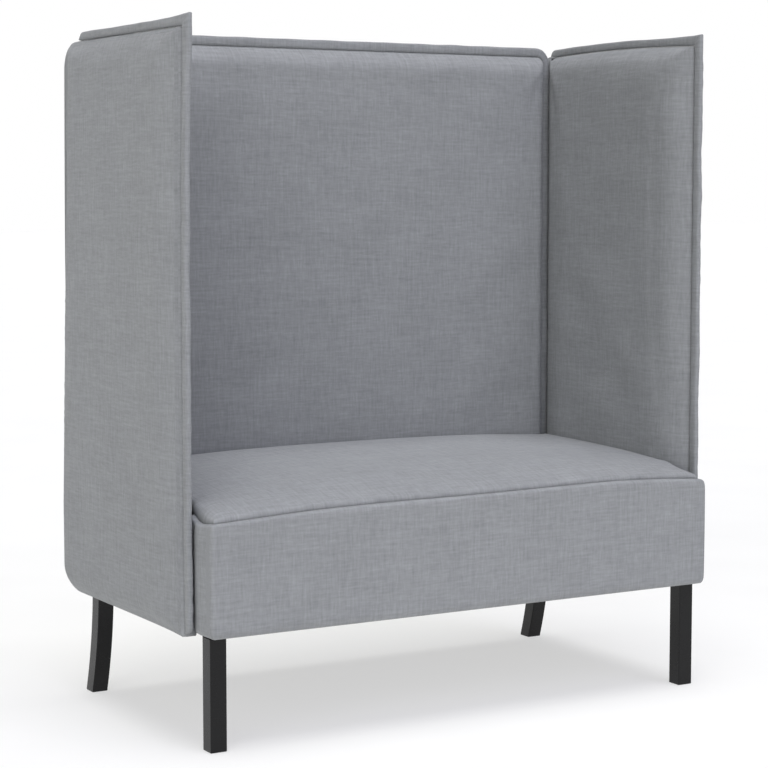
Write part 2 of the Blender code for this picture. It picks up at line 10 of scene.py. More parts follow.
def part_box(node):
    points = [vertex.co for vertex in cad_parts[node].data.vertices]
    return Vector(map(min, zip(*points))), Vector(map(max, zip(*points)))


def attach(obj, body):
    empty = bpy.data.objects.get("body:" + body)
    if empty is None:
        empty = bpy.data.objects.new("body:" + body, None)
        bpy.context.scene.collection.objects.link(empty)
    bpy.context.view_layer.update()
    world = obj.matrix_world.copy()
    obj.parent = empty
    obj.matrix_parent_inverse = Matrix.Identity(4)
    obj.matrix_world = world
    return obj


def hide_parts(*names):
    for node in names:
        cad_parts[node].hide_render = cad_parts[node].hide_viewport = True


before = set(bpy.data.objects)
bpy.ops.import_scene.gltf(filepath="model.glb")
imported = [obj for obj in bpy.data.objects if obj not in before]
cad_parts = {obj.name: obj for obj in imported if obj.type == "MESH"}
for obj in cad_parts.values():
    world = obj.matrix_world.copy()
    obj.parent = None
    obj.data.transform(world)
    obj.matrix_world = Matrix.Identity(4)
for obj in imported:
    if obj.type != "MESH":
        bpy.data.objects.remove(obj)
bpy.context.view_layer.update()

MM = 0.001


def corners(node):
    """A node's lowest and highest corners."""
    return [Vector(corner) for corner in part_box(node)]


# The frame's own planes, which every soft piece is built on
BOX_LOW, BOX_HIGH = corners("seat_border")
WING_LOW, WING_HIGH = corners("right_wing_outer_cover")
WING_PAD_LOW, WING_PAD_HIGH = corners("right_wing_inner_cover")
WING_BAND_LOW, WING_BAND_HIGH = corners("right_wing_flange")
BACK_PAD_LOW, BACK_PAD_HIGH = corners("back_inner_cover")
BACK_REAR_LOW, BACK_REAR_HIGH = corners("back_outer_cover")
BACK_BAND_LOW, BACK_BAND_HIGH = corners("back_flange")
_, SEAT_HIGH = corners("seat_top_cover")

# Grids of the covers
EDGE_LINES = np.array([0, 1.2, 3, 5.5, 9, 13.5, 19, 25.5, 33, 41]) * MM
GRID = 12 * MM
TOUCH = 0.4 * MM
TINY = 1e-9

# Grooves of the seams beside the standing bands
GROOVE = 6.5 * MM
GROOVE_REACH = 6 * MM

# Meeting of two rolls at a corner: width of the blend, its start and end, and its fade near the top
MITRE = 8 * MM
MITRE_FROM = 3 * MM
MITRE_FULL = 18 * MM
MITRE_FADE = 4 * MM

# Cloth simulation
FRAMES = 20
CLOTH_QUALITY = 6
PIN_REACH = 5 * MM
TENSION = 30.0
BENDING = 4.0
PRESSURE = 1.0
SWELL_CAP = 1.5 * MM

WEAVE_MAP = "weave"
SIDES = {"left": -1, "right": 1}

# Seeds of the wandering shapes: one for each group of pieces, a step apart within it
WING_SEEDS = {"left": 100, "right": 200}
BACK_SEED = 300
DUST_SEED = 301
SEAT_SEED = 400
BORDER_SEED = 500
SEED_STEP = 20
PAD_SWAY_SEED = 7

# Gathers of the covers along their seams, and the sway of the covers between them
PUCKER = 0.8 * MM
PUCKER_REACH = 16 * MM
PUCKER_START = 4 * MM
PUCKER_SMALL = (14 * MM, 34 * MM)
PUCKER_WIDE = (60 * MM, 180 * MM)
PUCKER_SHARES = (0.55, 0.45)
PUCKER_VARY = 0.5
SWAY = 0.7 * MM
SWAY_LENGTHS = (110 * MM, 320 * MM)
SWAY_START = 40 * MM


def lines(length):
    """Grid lines over a length: close together at both ends, evenly spaced between."""
    reach = EDGE_LINES[-1]
    count = max(1, round((length - 2 * reach) / GRID))
    middle = np.linspace(reach, length - reach, count + 1)
    return np.concatenate([EDGE_LINES[:-1], middle, length - EDGE_LINES[-2::-1]])


def refined(values):
    """The values of a grid with one more in the middle of each gap, on cubic curves along both axes."""
    for axis in (0, 1):
        values = np.moveaxis(values, axis, 0)
        padded = np.concatenate([2 * values[:1] - values[1:2], values, 2 * values[-1:] - values[-2:-1]])
        fine = np.empty((2 * len(values) - 1, *values.shape[1:]))
        fine[::2] = values
        fine[1::2] = (9 * (padded[1:-2] + padded[2:-1]) - padded[:-3] - padded[3:]) / 16
        values = np.moveaxis(fine, 0, axis)
    return values


def halved(marks):
    """Grid lines with one more in the middle of each gap."""
    fine = np.empty(2 * len(marks) - 1)
    fine[::2] = marks
    fine[1::2] = (marks[:-1] + marks[1:]) / 2
    return fine


def waves(seed, shortest, longest, count=9):
    """A smooth wandering function of one length, between about -1 and 1."""
    rng = np.random.default_rng(seed)
    lengths = np.exp(rng.uniform(math.log(shortest), math.log(longest), count))
    phases = rng.uniform(0, 2 * math.pi, count)
    scale = math.sqrt(2 / count)

    def at(place):
        turns = 2 * math.pi * np.asarray(place)[..., None] / lengths + phases
        return scale * np.sin(turns).sum(-1)

    return at


def ripples(seed, shortest, longest, count=14):
    """A smooth wandering function of two lengths, between about -1 and 1."""
    rng = np.random.default_rng(seed)
    lengths = np.exp(rng.uniform(math.log(shortest), math.log(longest), count))
    angles = rng.uniform(0, math.pi, count)
    phases = rng.uniform(0, 2 * math.pi, count)
    scale = math.sqrt(2 / count)

    def at(u, v):
        along = u[..., None] * np.cos(angles) + v[..., None] * np.sin(angles)
        return scale * np.sin(2 * math.pi * along / lengths + phases).sum(-1)

    return at


def ramp(value, start, end):
    """0 at start, 1 at end, eased at both."""
    t = np.clip((value - start) / (end - start), 0, 1)
    return t * t * (3 - 2 * t)


def dip(gap, reach):
    """1 at an edge, rounding down to 0 at reach from it, like the side of a roll."""
    return 1 - np.sqrt(1 - np.clip(1 - gap / reach, 0, 1) ** 2)


class Panel:
    """A rectangular cover laid flat: a grid in its rounded outline, with distances from its edges."""

    CORNERS = (("left", "bottom"), ("right", "bottom"), ("right", "top"), ("left", "top"))

    def __init__(self, width, height, radii, marks=None):
        self.width = width
        self.height = height
        self.radii = radii
        self.marks = marks or (lines(width), lines(height))
        self.u, self.v = np.meshgrid(*self.marks, indexing="ij")
        self.edge = np.minimum.reduce([self.u, width - self.u, self.v, height - self.v])
        self.held = []
        for sides, radius in zip(self.CORNERS, radii):
            self.round_corner(sides, radius)
        self.spans = {"left": self.u, "right": width - self.u, "bottom": self.v, "top": height - self.v}
        self.gaps = dict(self.spans)
        for sides, held, _ in self.held:
            for name in sides:
                self.gaps[name] = np.where(held, self.edge, self.gaps[name])

    def round_corner(self, sides, radius):
        right = sides[0] == "right"
        top = sides[1] == "top"
        across = self.width - self.u if right else self.u
        up = self.height - self.v if top else self.v
        held = (across < radius) & (up < radius)
        p = 1 - across[held] / radius
        q = 1 - up[held] / radius
        reach = np.maximum(p, q)
        share = np.minimum(p, q) / np.maximum(reach, TINY)
        angle = np.where(p >= q, share, 2 - share) * math.pi / 4
        new_u = radius * (1 - reach * np.cos(angle))
        new_v = radius * (1 - reach * np.sin(angle))
        self.u[held] = self.width - new_u if right else new_u
        self.v[held] = self.height - new_v if top else new_v
        self.edge[held] = radius * (1 - reach)
        turn = np.zeros_like(self.u)
        turn[held] = np.sin(angle) ** 2
        self.held.append((sides, held, turn))

    def finer(self):
        return Panel(self.width, self.height, self.radii, tuple(halved(m) for m in self.marks))


def bevel(share, slope):
    """Rise of a pad's edge from 0 to 1: it starts at the given slope, rounds over and ends level."""
    t = np.clip(share, 0, 1)
    return slope * (t - 2 * t**2 + t**3) + 3 * t**2 - 2 * t**3


def edge_height(gap, thick, reach, slope, low):
    return low + (thick - low) * bevel(gap / reach, slope)


def soft_min(a, b, blend):
    near = np.clip(1 - np.abs(a - b) / blend, 0, 1)
    return np.minimum(a, b) - near**2 * blend / 4


def pad_height(panel, thick, edges, seamed):
    """Height of a pad whose edges each rise from their own low, as (reach, slope, low), to its thickness."""
    heights = [edge_height(panel.gaps[name], thick, *spec) for name, spec in edges.items()]
    height = heights[0]
    for other in heights[1:]:
        fade = np.clip((thick - np.maximum(height, other)) / MITRE_FADE, 0, 1)
        height = soft_min(height, other, TINY + MITRE * fade * ramp(panel.edge, MITRE_FROM, MITRE_FULL))
    for (side, end), held, turn in panel.held:
        if side in edges and end in edges:
            near = edge_height(panel.edge, thick, *edges[side])
            far = edge_height(panel.edge, thick, *edges[end])
            limits = [edge_height(panel.spans[name], thick, *edges[name]) for name in (side, end)]
            height = np.where(held, np.minimum(near + (far - near) * turn, np.minimum(*limits)), height)
    seam_gap = np.minimum.reduce([panel.gaps[name] for name in seamed])
    return height - GROOVE * dip(seam_gap, GROOVE_REACH)


def grid_faces(nu, nv):
    index = np.arange(nu * nv).reshape(nu, nv)
    cells = [index[:-1, :-1], index[1:, :-1], index[1:, 1:], index[:-1, 1:]]
    return np.stack(cells, -1).reshape(-1, 4)


def add_object(name, data):
    obj = bpy.data.objects.new(name, data)
    bpy.context.scene.collection.objects.link(obj)
    return obj


def bm_object(name, bm, material):
    mesh = bpy.data.meshes.new(name)
    bm.to_mesh(mesh)
    bm.free()
    mesh.materials.append(material)
    return add_object(name, mesh)


def strip_faces(rows, count):
    """Faces between closed rows of points, each of the same count."""
    faces = []
    for k in range(rows - 1):
        for j in range(count):
            after = (j + 1) % count
            faces.append((k * count + j, k * count + after, (k + 1) * count + after, (k + 1) * count + j))
    return faces


def swell(grid, edge):
    """How far a cover's grid, made finer, moves when its filling presses it out, by cloth simulation."""
    scene = bpy.context.scene
    mesh = bpy.data.meshes.new("swell")
    mesh.from_pydata(grid.reshape(-1, 3).tolist(), [], grid_faces(*edge.shape).tolist())
    obj = add_object("swell", mesh)
    held = obj.vertex_groups.new(name="seam")
    held.add(np.flatnonzero(edge <= PIN_REACH).tolist(), 1.0, "REPLACE")
    cloth = obj.modifiers.new("cloth", "CLOTH")
    settings = cloth.settings
    settings.quality = CLOTH_QUALITY
    settings.tension_stiffness = TENSION
    settings.compression_stiffness = TENSION
    settings.shear_stiffness = TENSION / 2
    settings.bending_stiffness = BENDING
    settings.vertex_group_mass = "seam"
    settings.use_pressure = True
    settings.uniform_pressure_force = PRESSURE
    settings.effector_weights.gravity = 0.0
    cloth.point_cache.frame_start = 1
    cloth.point_cache.frame_end = FRAMES
    for step in range(1, FRAMES + 1):
        scene.frame_set(step)
    graph = bpy.context.evaluated_depsgraph_get()
    moved = np.empty(grid.size, np.float32)
    obj.evaluated_get(graph).data.vertices.foreach_get("co", moved)
    bpy.data.objects.remove(obj)
    bpy.data.meshes.remove(mesh)
    scene.frame_set(1)
    move = moved.reshape(grid.shape) - grid
    length = np.maximum(np.linalg.norm(move, axis=-1, keepdims=True), TINY)
    return refined(move * SWELL_CAP * np.tanh(length / SWELL_CAP) / length)


def new_piece(name, bm, material, nodes):
    """A piece of the sofa from a finished mesh, riding on the frame in place of its CAD nodes."""
    bmesh.ops.recalc_face_normals(bm, faces=bm.faces)
    for face in bm.faces:
        face.smooth = True
    piece = bm_object(name, bm, material)
    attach(piece, "root")
    if nodes:
        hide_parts(*nodes)
    return piece


def thicken(piece, thickness, offset):
    thick = piece.modifiers.new("thickness", "SOLIDIFY")
    thick.thickness = thickness
    thick.offset = offset


def sheet_bm(points, uv, faces):
    """A mesh of these points, with the place of each in the flat cloth kept on its vertex."""
    bm = bmesh.new()
    cloth = bm.verts.layers.float_vector.new("cloth")
    verts = [bm.verts.new(p) for p in points]
    for vert, (u, v) in zip(verts, uv):
        vert[cloth] = (u, v, 0)
    for face in faces:
        bm.faces.new([verts[k] for k in face])
    return bm


def grid_bm(points, flat):
    """A mesh of a grid of points, whose places in the cloth are those of the flat grid."""
    uv = flat[..., :2].reshape(-1, 2)
    return sheet_bm(points.reshape(-1, 3), uv, grid_faces(*points.shape[:2]))


def extrude_rim(bm, edges, place):
    """Carries a rim one step on, to the points and the places in the cloth that place gives."""
    cloth = bm.verts.layers.float_vector["cloth"]
    out = bmesh.ops.extrude_edge_only(bm, edges=edges)["geom"]
    for vert in (item for item in out if isinstance(item, bmesh.types.BMVert)):
        point, flat = place(vert.co.copy(), vert[cloth].copy())
        vert.co = point
        vert[cloth] = flat
    return [item for item in out if isinstance(item, bmesh.types.BMEdge)]


def write_weave(bm):
    """Writes the UV map of the weave, in metres of cloth."""
    cloth = bm.verts.layers.float_vector["cloth"]
    weave = bm.loops.layers.uv.new(WEAVE_MAP)
    for face in bm.faces:
        for loop in face.loops:
            loop[weave].uv = loop.vert[cloth].xy


def drawn_in(value, size, inset):
    return size / 2 + (value - size / 2) * (1 - 2 * inset / size)


def close_pad(bm, panel, steps):
    """Closes the back of a pad: its rim goes through steps of (inset, height), and a flat face ends it."""
    rim = [edge for edge in bm.edges if edge.is_boundary]
    for inset, height in steps:

        def place(point, flat, inset=inset, height=height):
            u = drawn_in(point.x, panel.width, inset)
            v = drawn_in(point.y, panel.height, inset)
            end = height(point) if callable(height) else height
            across = point.x - panel.width / 2
            up = point.y - panel.height / 2
            away = Vector((0, math.copysign(1, up), 0))
            if abs(across) / panel.width > abs(up) / panel.height:
                away = Vector((math.copysign(1, across), 0, 0))
            return Vector((u, v, end)), flat + away * (abs(point.z - end) + inset)

        rim = extrude_rim(bm, rim, place)
    bmesh.ops.holes_fill(bm, edges=rim, sides=0)


def seam_puckers(panel, seed):
    """Small gathers of a cover along its seams, fading out into the panel."""
    along = panel.u + panel.v
    across = panel.u - panel.v
    small = waves(seed, *PUCKER_SMALL)
    wide = waves(seed + 1, *PUCKER_WIDE)
    near, far = PUCKER_SHARES
    gather = near * small(along) * (1 + PUCKER_VARY * wide(across)) + far * wide(along)
    fade = np.exp(-panel.edge / PUCKER_REACH)
    return PUCKER * gather * fade * np.clip(panel.edge / PUCKER_START, 0, 1)


def make_pad(name, panel, shape, steps, to_world, seed, nodes, bend=None):
    """A padded cover: its shape swells in a cloth simulation, gets its gathers, and is closed behind."""
    move = swell(np.stack([panel.u, panel.v, shape(panel)], -1), panel.edge)
    fine = panel.finer()
    height = shape(fine) + seam_puckers(fine, seed)
    sway = ripples(seed + PAD_SWAY_SEED, *SWAY_LENGTHS)(fine.u, fine.v)
    height += SWAY * sway * np.clip(fine.edge / SWAY_START, 0, 1)
    flat = np.stack([fine.u, fine.v, height], -1)
    bm = grid_bm(flat + move, flat)
    close_pad(bm, panel, steps)
    settle(bm, to_world, bend)
    piece = new_piece(name, bm, FABRIC, nodes)


def settle(bm, to_world, bend):
    """Writes a mesh's weave, moves it from its panel to the sofa and lets it settle there."""
    write_weave(bm)
    bmesh.ops.transform(bm, matrix=to_world, verts=bm.verts)
    if bend:
        for vert in bm.verts:
            vert.co = bend(vert.co)


def axes(origin, across, out):
    """The matrix from an upright panel's own lengths (across, up, out) to the frame."""
    return Matrix.Translation(origin) @ Matrix((across, (0, 0, 1), out)).transposed().to_4x4()


# Materials: the range that most of a noise lies in, and the fabric's yarns and threads
RANGE = ("From Min", "From Max", "To Min", "To Max")
NOISE_LOW = 0.3
NOISE_HIGH = 0.7
THREAD = 1.5 * MM
THREAD_SHARE = 0.35
TONE_SPAN = 0.6
FLECK_SHARE = 0.15
CLOUD_SHARE = 0.2
RIB = 3 * MM
DOT = 2.4 * MM

# Yarns: length, width, whether they run up the cloth, seed, share of the tone
YARNS = (
    (20 * MM, 3.6 * MM, False, 1.3, 0.45),
    (24 * MM, 3.6 * MM, True, 5.1, 0.5),
    (70 * MM, 5.5 * MM, False, 9.7, 0.45),
    (80 * MM, 5.5 * MM, True, 13.9, 0.45),
    (12 * MM, 1.5 * MM, False, 17.7, 0.2),
    (12 * MM, 1.5 * MM, True, 21.9, 0.2),
)


class Shader:
    """A material or world under construction, with short calls for its nodes."""

    def __init__(self, name, kind="materials", end="Principled BSDF"):
        self.owner = getattr(bpy.data, kind).new(name)
        self.owner.use_nodes = True
        self.tree = self.owner.node_tree
        self.end = self.tree.nodes[end]

    def node(self, kind, inputs, **settings):
        node = self.tree.nodes.new("ShaderNode" + kind)
        for key, value in settings.items():
            setattr(node, key, value)
        for key, value in inputs.items():
            self.feed(node.inputs[key], value)
        return node

    def feed(self, socket, value):
        if isinstance(value, bpy.types.NodeSocket):
            self.tree.links.new(value, socket)
        else:
            socket.default_value = value

    def math(self, operation, a, b=0.0):
        return self.node("Math", {0: a, 1: b}, operation=operation).outputs[0]

    def noise(self, vector, scale, detail=2.0, roughness=0.5):
        inputs = {"Vector": vector, "Scale": scale, "Detail": detail, "Roughness": roughness}
        return self.node("TexNoise", inputs).outputs["Fac"]

    def vector(self, x, y, z=0.0):
        return self.node("CombineXYZ", {0: x, 1: y, 2: z}).outputs[0]

    def mix(self, factor, a, b):
        return self.node("Mix", {"Factor": factor, "A": a, "B": b}, data_type="RGBA").outputs["Result"]

    def span(self, value, *ends, **settings):
        inputs = {"Value": value, **dict(zip(RANGE, ends))}
        return self.node("MapRange", inputs, **settings).outputs["Result"]

    def bump(self, height, distance, strength):
        node = self.node("Bump", {"Height": height, "Distance": distance, "Strength": strength})
        self.set(Normal=node.outputs[0])

    def place(self, kind="Object"):
        return self.node("TexCoord", {}).outputs[kind]

    def stretched(self, place, share):
        """A place whose pattern is drawn out upwards, to this share of its scale."""
        return self.node("Mapping", {"Vector": place, "Scale": (1.0, 1.0, share)}).outputs[0]

    def cloth(self):
        """The place in the flat cloth, with its two lengths."""
        place = self.node("UVMap", {}, uv_map=WEAVE_MAP).outputs[0]
        return place, *self.lengths(place)[:2]

    def lengths(self, place):
        return tuple(self.node("SeparateXYZ", {0: place}).outputs)

    def wave(self, length, pitch):
        return self.math("SINE", self.math("MULTIPLY", length, 2 * math.pi / pitch))

    def tone(self, value, dark, light, low=NOISE_LOW, high=NOISE_HIGH):
        share = self.span(value, low, high, 0.0, 1.0)
        self.set(Base_Color=self.mix(share, (*dark, 1), (*light, 1)))

    def rough(self, value, least, most, low=NOISE_LOW, high=NOISE_HIGH):
        self.set(Roughness=self.span(value, low, high, least, most))

    def set(self, **values):
        for key, value in values.items():
            self.feed(self.end.inputs[key.replace("_", " ")], value)


def fabric(name, dark, light):
    """Flat-woven melange cloth: uneven yarns both ways, light and dark fibres mixed, soft sheen."""
    s = Shader(name)
    _, u, v = s.cloth()
    yarns = []
    for length, width, upwards, seed, _ in YARNS:
        along, across = (v, u) if upwards else (u, v)
        place = s.vector(s.math("DIVIDE", along, length), s.math("DIVIDE", across, width), seed)
        yarns.append(s.noise(place, scale=1.0, detail=1.0))
    fleck = s.noise(s.vector(u, v), scale=420.0, roughness=0.6)
    cloud = s.noise(s.vector(u, v, 3.0), scale=9.0)
    total = 0.0
    shares = (*(row[-1] for row in YARNS), FLECK_SHARE, CLOUD_SHARE)
    for part, share in zip((*yarns, fleck, cloud), shares):
        total = s.math("ADD", total, s.math("MULTIPLY", s.math("SUBTRACT", part, 0.5), share))
    s.tone(total, dark, light, -TONE_SPAN, TONE_SPAN)
    s.rough(fleck, 0.82, 0.96)
    s.set(Sheen_Weight=0.1, Sheen_Roughness=0.5, Specular_IOR_Level=0.2)
    cross = s.math("MULTIPLY", s.math("MULTIPLY", s.wave(u, THREAD), s.wave(v, THREAD)), THREAD_SHARE)
    s.bump(s.math("ADD", cross, s.math("ADD", *yarns[-2:])), distance=0.5 * MM, strength=0.5)
    return s.owner


def painted_wood(name):
    """Black paint on planed wood: the grain just shows, and the gloss is uneven."""
    s = Shader(name)
    place = s.place()
    grain = s.noise(s.stretched(place, 0.06), scale=420.0, detail=4.0, roughness=0.6)
    haze = s.noise(place, scale=35.0, detail=3.0)
    s.tone(haze, dark=(0.0015, 0.0015, 0.002), light=(0.003, 0.003, 0.0035))
    s.rough(haze, 0.24, 0.32)
    s.set(Specular_IOR_Level=0.3)
    s.bump(grain, distance=0.25 * MM, strength=0.3)
    return s.owner


def timber(name):
    """Bare planed softwood of the hidden frame."""
    s = Shader(name)
    grain = s.noise(s.stretched(s.place(), 0.12), scale=140.0, detail=5.0, roughness=0.65)
    s.tone(grain, dark=(0.42, 0.27, 0.14), light=(0.62, 0.45, 0.27))
    s.rough(grain, 0.6, 0.8)
    s.bump(grain, distance=0.4 * MM, strength=0.4)
    return s.owner


def moulded(name):
    """Moulded plastic with a fine spark-eroded texture."""
    s = Shader(name)
    place = s.place()
    grit = s.noise(place, scale=1800.0)
    haze = s.noise(place, scale=60.0)
    s.tone(haze, dark=(0.02, 0.02, 0.02), light=(0.035, 0.035, 0.036), low=0.35, high=0.65)
    s.rough(grit, 0.44, 0.56)
    s.bump(grit, distance=0.1 * MM, strength=0.3)
    return s.owner


def zinc(name):
    """Zinc-plated steel with dull patches."""
    s = Shader(name)
    patch = s.noise(s.place(), scale=90.0, detail=4.0, roughness=0.6)
    s.tone(patch, dark=(0.50, 0.51, 0.53), light=(0.68, 0.69, 0.71))
    s.rough(patch, 0.28, 0.5)
    s.set(Metallic=1.0)
    s.bump(patch, distance=0.05 * MM, strength=0.3)
    return s.owner


def strapping(name):
    """Elastic webbing with ribs along its length."""
    s = Shader(name)
    place = s.place()
    rib = s.wave(s.lengths(place)[0], RIB)
    fuzz = s.noise(place, scale=900.0)
    s.tone(rib, dark=(0.03, 0.03, 0.032), light=(0.07, 0.07, 0.075), low=-1, high=1)
    s.rough(fuzz, 0.75, 0.95)
    s.bump(s.math("ADD", rib, fuzz), distance=0.3 * MM, strength=0.5)
    return s.owner


def dust_cloth(name):
    """Black spun-bonded dust cloth with its field of small pressed dots."""
    s = Shader(name)
    place, u, v = s.cloth()
    dots = s.math("MULTIPLY", s.wave(u, DOT), s.wave(v, DOT))
    fibre = s.noise(place, scale=700.0, detail=3.0, roughness=0.6)
    s.tone(fibre, dark=(0.012, 0.012, 0.013), light=(0.035, 0.035, 0.037))
    s.rough(dots, 0.7, 0.95, low=-1, high=1)
    s.bump(s.math("ADD", dots, fibre), distance=0.2 * MM, strength=0.5)
    return s.owner


def floor_paint(name):
    """Plain white studio floor, lit through a little so that shadows stay faint."""
    s = Shader(name)
    cloud = s.noise(s.place(), scale=3.0, detail=3.0)
    s.tone(cloud, dark=(0.38, 0.38, 0.37), light=(0.40, 0.40, 0.39))
    s.rough(cloud, 0.85, 0.95)
    s.set(Specular_IOR_Level=0.1, Emission_Color=(1.0, 1.0, 1.0, 1), Emission_Strength=0.56)
    return s.owner


FABRIC = fabric("grey_fabric_look", dark=(0.180, 0.186, 0.190), light=(0.349, 0.360, 0.368))
BLACK_PAINT = painted_wood("black_paint_look")
TIMBER = timber("timber_look")
PLASTIC = moulded("glide_plastic_look")
ZINC = zinc("zinc_steel_look")
WEBBING = strapping("webbing_look")
DUST = dust_cloth("dust_cloth_look")


def dress_frame():
    """Gives the nodes of the frame that stay as they are their procedural materials."""
    looks = {"rail": TIMBER, "post": TIMBER, "bolt": ZINC, "glide": PLASTIC, "strap": WEBBING}
    for name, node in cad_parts.items():
        for word, material in looks.items():
            if word in name:
                for slot in node.material_slots:
                    slot.link = "OBJECT"
                    slot.material = material


# Wings
WING_DEPTH = WING_HIGH.y - WING_LOW.y
WING_RISE = WING_HIGH.z - WING_LOW.z
WING_CORNERS = (6 * MM, 50 * MM, 45 * MM, 6 * MM)
WING_PAD_DEPTH = WING_PAD_HIGH.y - WING_PAD_LOW.y
WING_PAD_RISE = WING_PAD_HIGH.z - WING_PAD_LOW.z
WING_PAD_FOOT = WING_PAD_LOW.z - WING_LOW.z
WING_PAD_CORNERS = (3 * MM, 3 * MM, 5 * MM, 4 * MM)
PAD_CROWN = 5 * MM
BAND_INNER = WING_BAND_LOW.x - WING_LOW.x
BAND_OUTER = WING_BAND_HIGH.x - WING_LOW.x
BAND_MIDDLE = (BAND_INNER + BAND_OUTER) / 2
OUTER_THICK = WING_HIGH.x - WING_LOW.x - PAD_CROWN
INNER_THICK = WING_PAD_HIGH.x - WING_PAD_LOW.x - PAD_CROWN
FRAME_THICK = 28 * MM
WALL = 3 * MM

# Edges of the wings' pads: reach of the roll, slope at its start, height at its start
INNER_EDGES = {
    "left": (84 * MM, 2.8, TOUCH - BAND_INNER),
    "top": (50 * MM, 2.8, TOUCH - BAND_INNER),
    "right": (26 * MM, 2.4, 2 * MM),
    "bottom": (20 * MM, 2.0, 2 * MM),
}
INNER_CLOSE = 18 * MM
OUTER_FRONT = (84 * MM, 2.8, BAND_OUTER)
OUTER_TOP = (50 * MM, 2.8, BAND_OUTER)
OUTER_BOTTOM = (36 * MM, 2.2, BAND_OUTER)

# Rear roll of an outer pad near its foot and its top: share of the height, reach, slope, height at its start
OUTER_REAR_FOOT = (0.16, 14 * MM, 1.6, 36 * MM)
OUTER_REAR_TOP = (0.94, 60 * MM, 1.1, 16.5 * MM)

# How each wing's covers settle: lean forward at the top, rise of the top edge and of its middle
LEAN = {"left": 10.5 * MM, "right": 0.0}
LEAN_FROM = 0.85
LEAN_POWER = 1.3
TOP_LIFT = {"left": 2.5 * MM, "right": 4.5 * MM}
TOP_BOW = {"left": 0.0, "right": 6.0 * MM}
TOP_FROM = 1.10
TIP_IN = {"left": 3 * MM, "right": 0.0}
TIP_NEAR = 20 * MM
FOOT_PUSH = 6 * MM
FOOT_SAG = 4 * MM
FOOT_NEAR = 50 * MM


def wing_bend(label):
    """How the covers of one wing settle on its frame, as a function of a point."""

    def bend(point):
        x, y, z = point
        up = max(0.0, (z - LEAN_FROM) / (WING_HIGH.z - LEAN_FROM))
        along = (y - WING_LOW.y) / WING_DEPTH
        bow = TOP_BOW[label] * math.sin(math.pi * min(1.0, max(0.0, along)))
        high = float(ramp(z, TOP_FROM, WING_HIGH.z))
        lift = high * (TOP_LIFT[label] + bow)
        from_foot = max(0.0, z - WING_LOW.z) / FOOT_NEAR
        from_front = max(0.0, y - WING_LOW.y) / FOOT_NEAR
        foot = math.exp(-from_foot) * math.exp(-from_front)
        ahead = min(1.0, max(0.0, (WING_LOW.y - y) / TIP_NEAR))
        turn_in = TIP_IN[label] * ahead * high
        x = x - math.copysign(turn_in, x)
        return Vector((x, y - LEAN[label] * up**LEAN_POWER - FOOT_PUSH * foot, z + lift - FOOT_SAG * foot))

    return bend


def make_wing(label, side, seed):
    """One wing: its outer and inner pads, its band and the strip of cloth behind the back's edge."""
    bend = wing_bend(label)

    def outer_shape(panel):
        shares = (OUTER_REAR_FOOT[0], OUTER_REAR_TOP[0])
        ends = zip(OUTER_REAR_FOOT[1:], OUTER_REAR_TOP[1:])
        rear = tuple(np.interp(panel.v / panel.height, shares, pair) for pair in ends)
        edges = {"left": OUTER_FRONT, "top": OUTER_TOP, "bottom": OUTER_BOTTOM, "right": rear}
        return pad_height(panel, OUTER_THICK, edges, ("left", "top"))

    def wall_end(point):
        corner = WING_CORNERS[3] + MM
        at_front = point.x < corner and point.y > WING_PAD_FOOT
        at_top = point.y > WING_RISE - corner and point.x < WING_PAD_DEPTH
        return BAND_MIDDLE if at_front or at_top else 0.0

    def as_it_is(point):
        return point.z

    steps = [(0.0, wall_end), (WALL, as_it_is), (WALL, FRAME_THICK + TOUCH)]
    outer = Panel(WING_DEPTH, WING_RISE, WING_CORNERS)
    out_axes = axes((side * WING_LOW.x, WING_LOW.y, WING_LOW.z), (0, 1, 0), (side, 0, 0))
    nodes = [f"{label}_wing_outer_cover", f"{label}_wing_outer_foam"]
    make_pad(f"{label}_wing_outer_pad", outer, outer_shape, steps, out_axes, seed, nodes, bend)

    def inner_shape(panel):
        return pad_height(panel, INNER_THICK, INNER_EDGES, ("left", "top"))

    inner = Panel(WING_PAD_DEPTH, WING_PAD_RISE, WING_PAD_CORNERS)
    in_axes = axes((side * WING_PAD_HIGH.x, WING_PAD_LOW.y, WING_PAD_LOW.z), (0, 1, 0), (-side, 0, 0))
    nodes = [f"{label}_wing_inner_cover", f"{label}_wing_inner_foam"]
    steps = [(WALL, as_it_is), (INNER_CLOSE, 0.0)]
    make_pad(f"{label}_wing_inner_pad", inner, inner_shape, steps, in_axes, seed + SEED_STEP, nodes, bend)
    make_wing_band(label, out_axes, seed + 2 * SEED_STEP, bend)
    make_wing_facing(label, out_axes, seed + 3 * SEED_STEP, bend)


# Standing bands: share of the width from the seam to the tip, share of half the thickness
BAND_PROFILE = (
    (0.00, 0.20), (0.05, 0.46), (0.10, 0.68), (0.17, 0.86), (0.27, 0.98), (0.48, 1.03),
    (0.72, 1.02), (0.86, 0.94), (0.94, 0.78), (0.985, 0.46), (1.00, 0.00),
)
BAND_STEP = 5 * MM
BAND_CLOTH = 0.3
BAND_GIRTH = 3 * MM
WELD = 1e-6

# How a band wanders: size, shortest and longest wave, and how far creases reach from its foot
BAND_SWAY = (0.45 * MM, 120 * MM, 360 * MM)
BAND_FLUTTER = (0.15 * MM, 24 * MM, 60 * MM)
BAND_PLUMP = (0.05, 25 * MM, 90 * MM)
BAND_WANDER = (0.014, 70 * MM, 220 * MM)
CREASE_REACH = 70 * MM


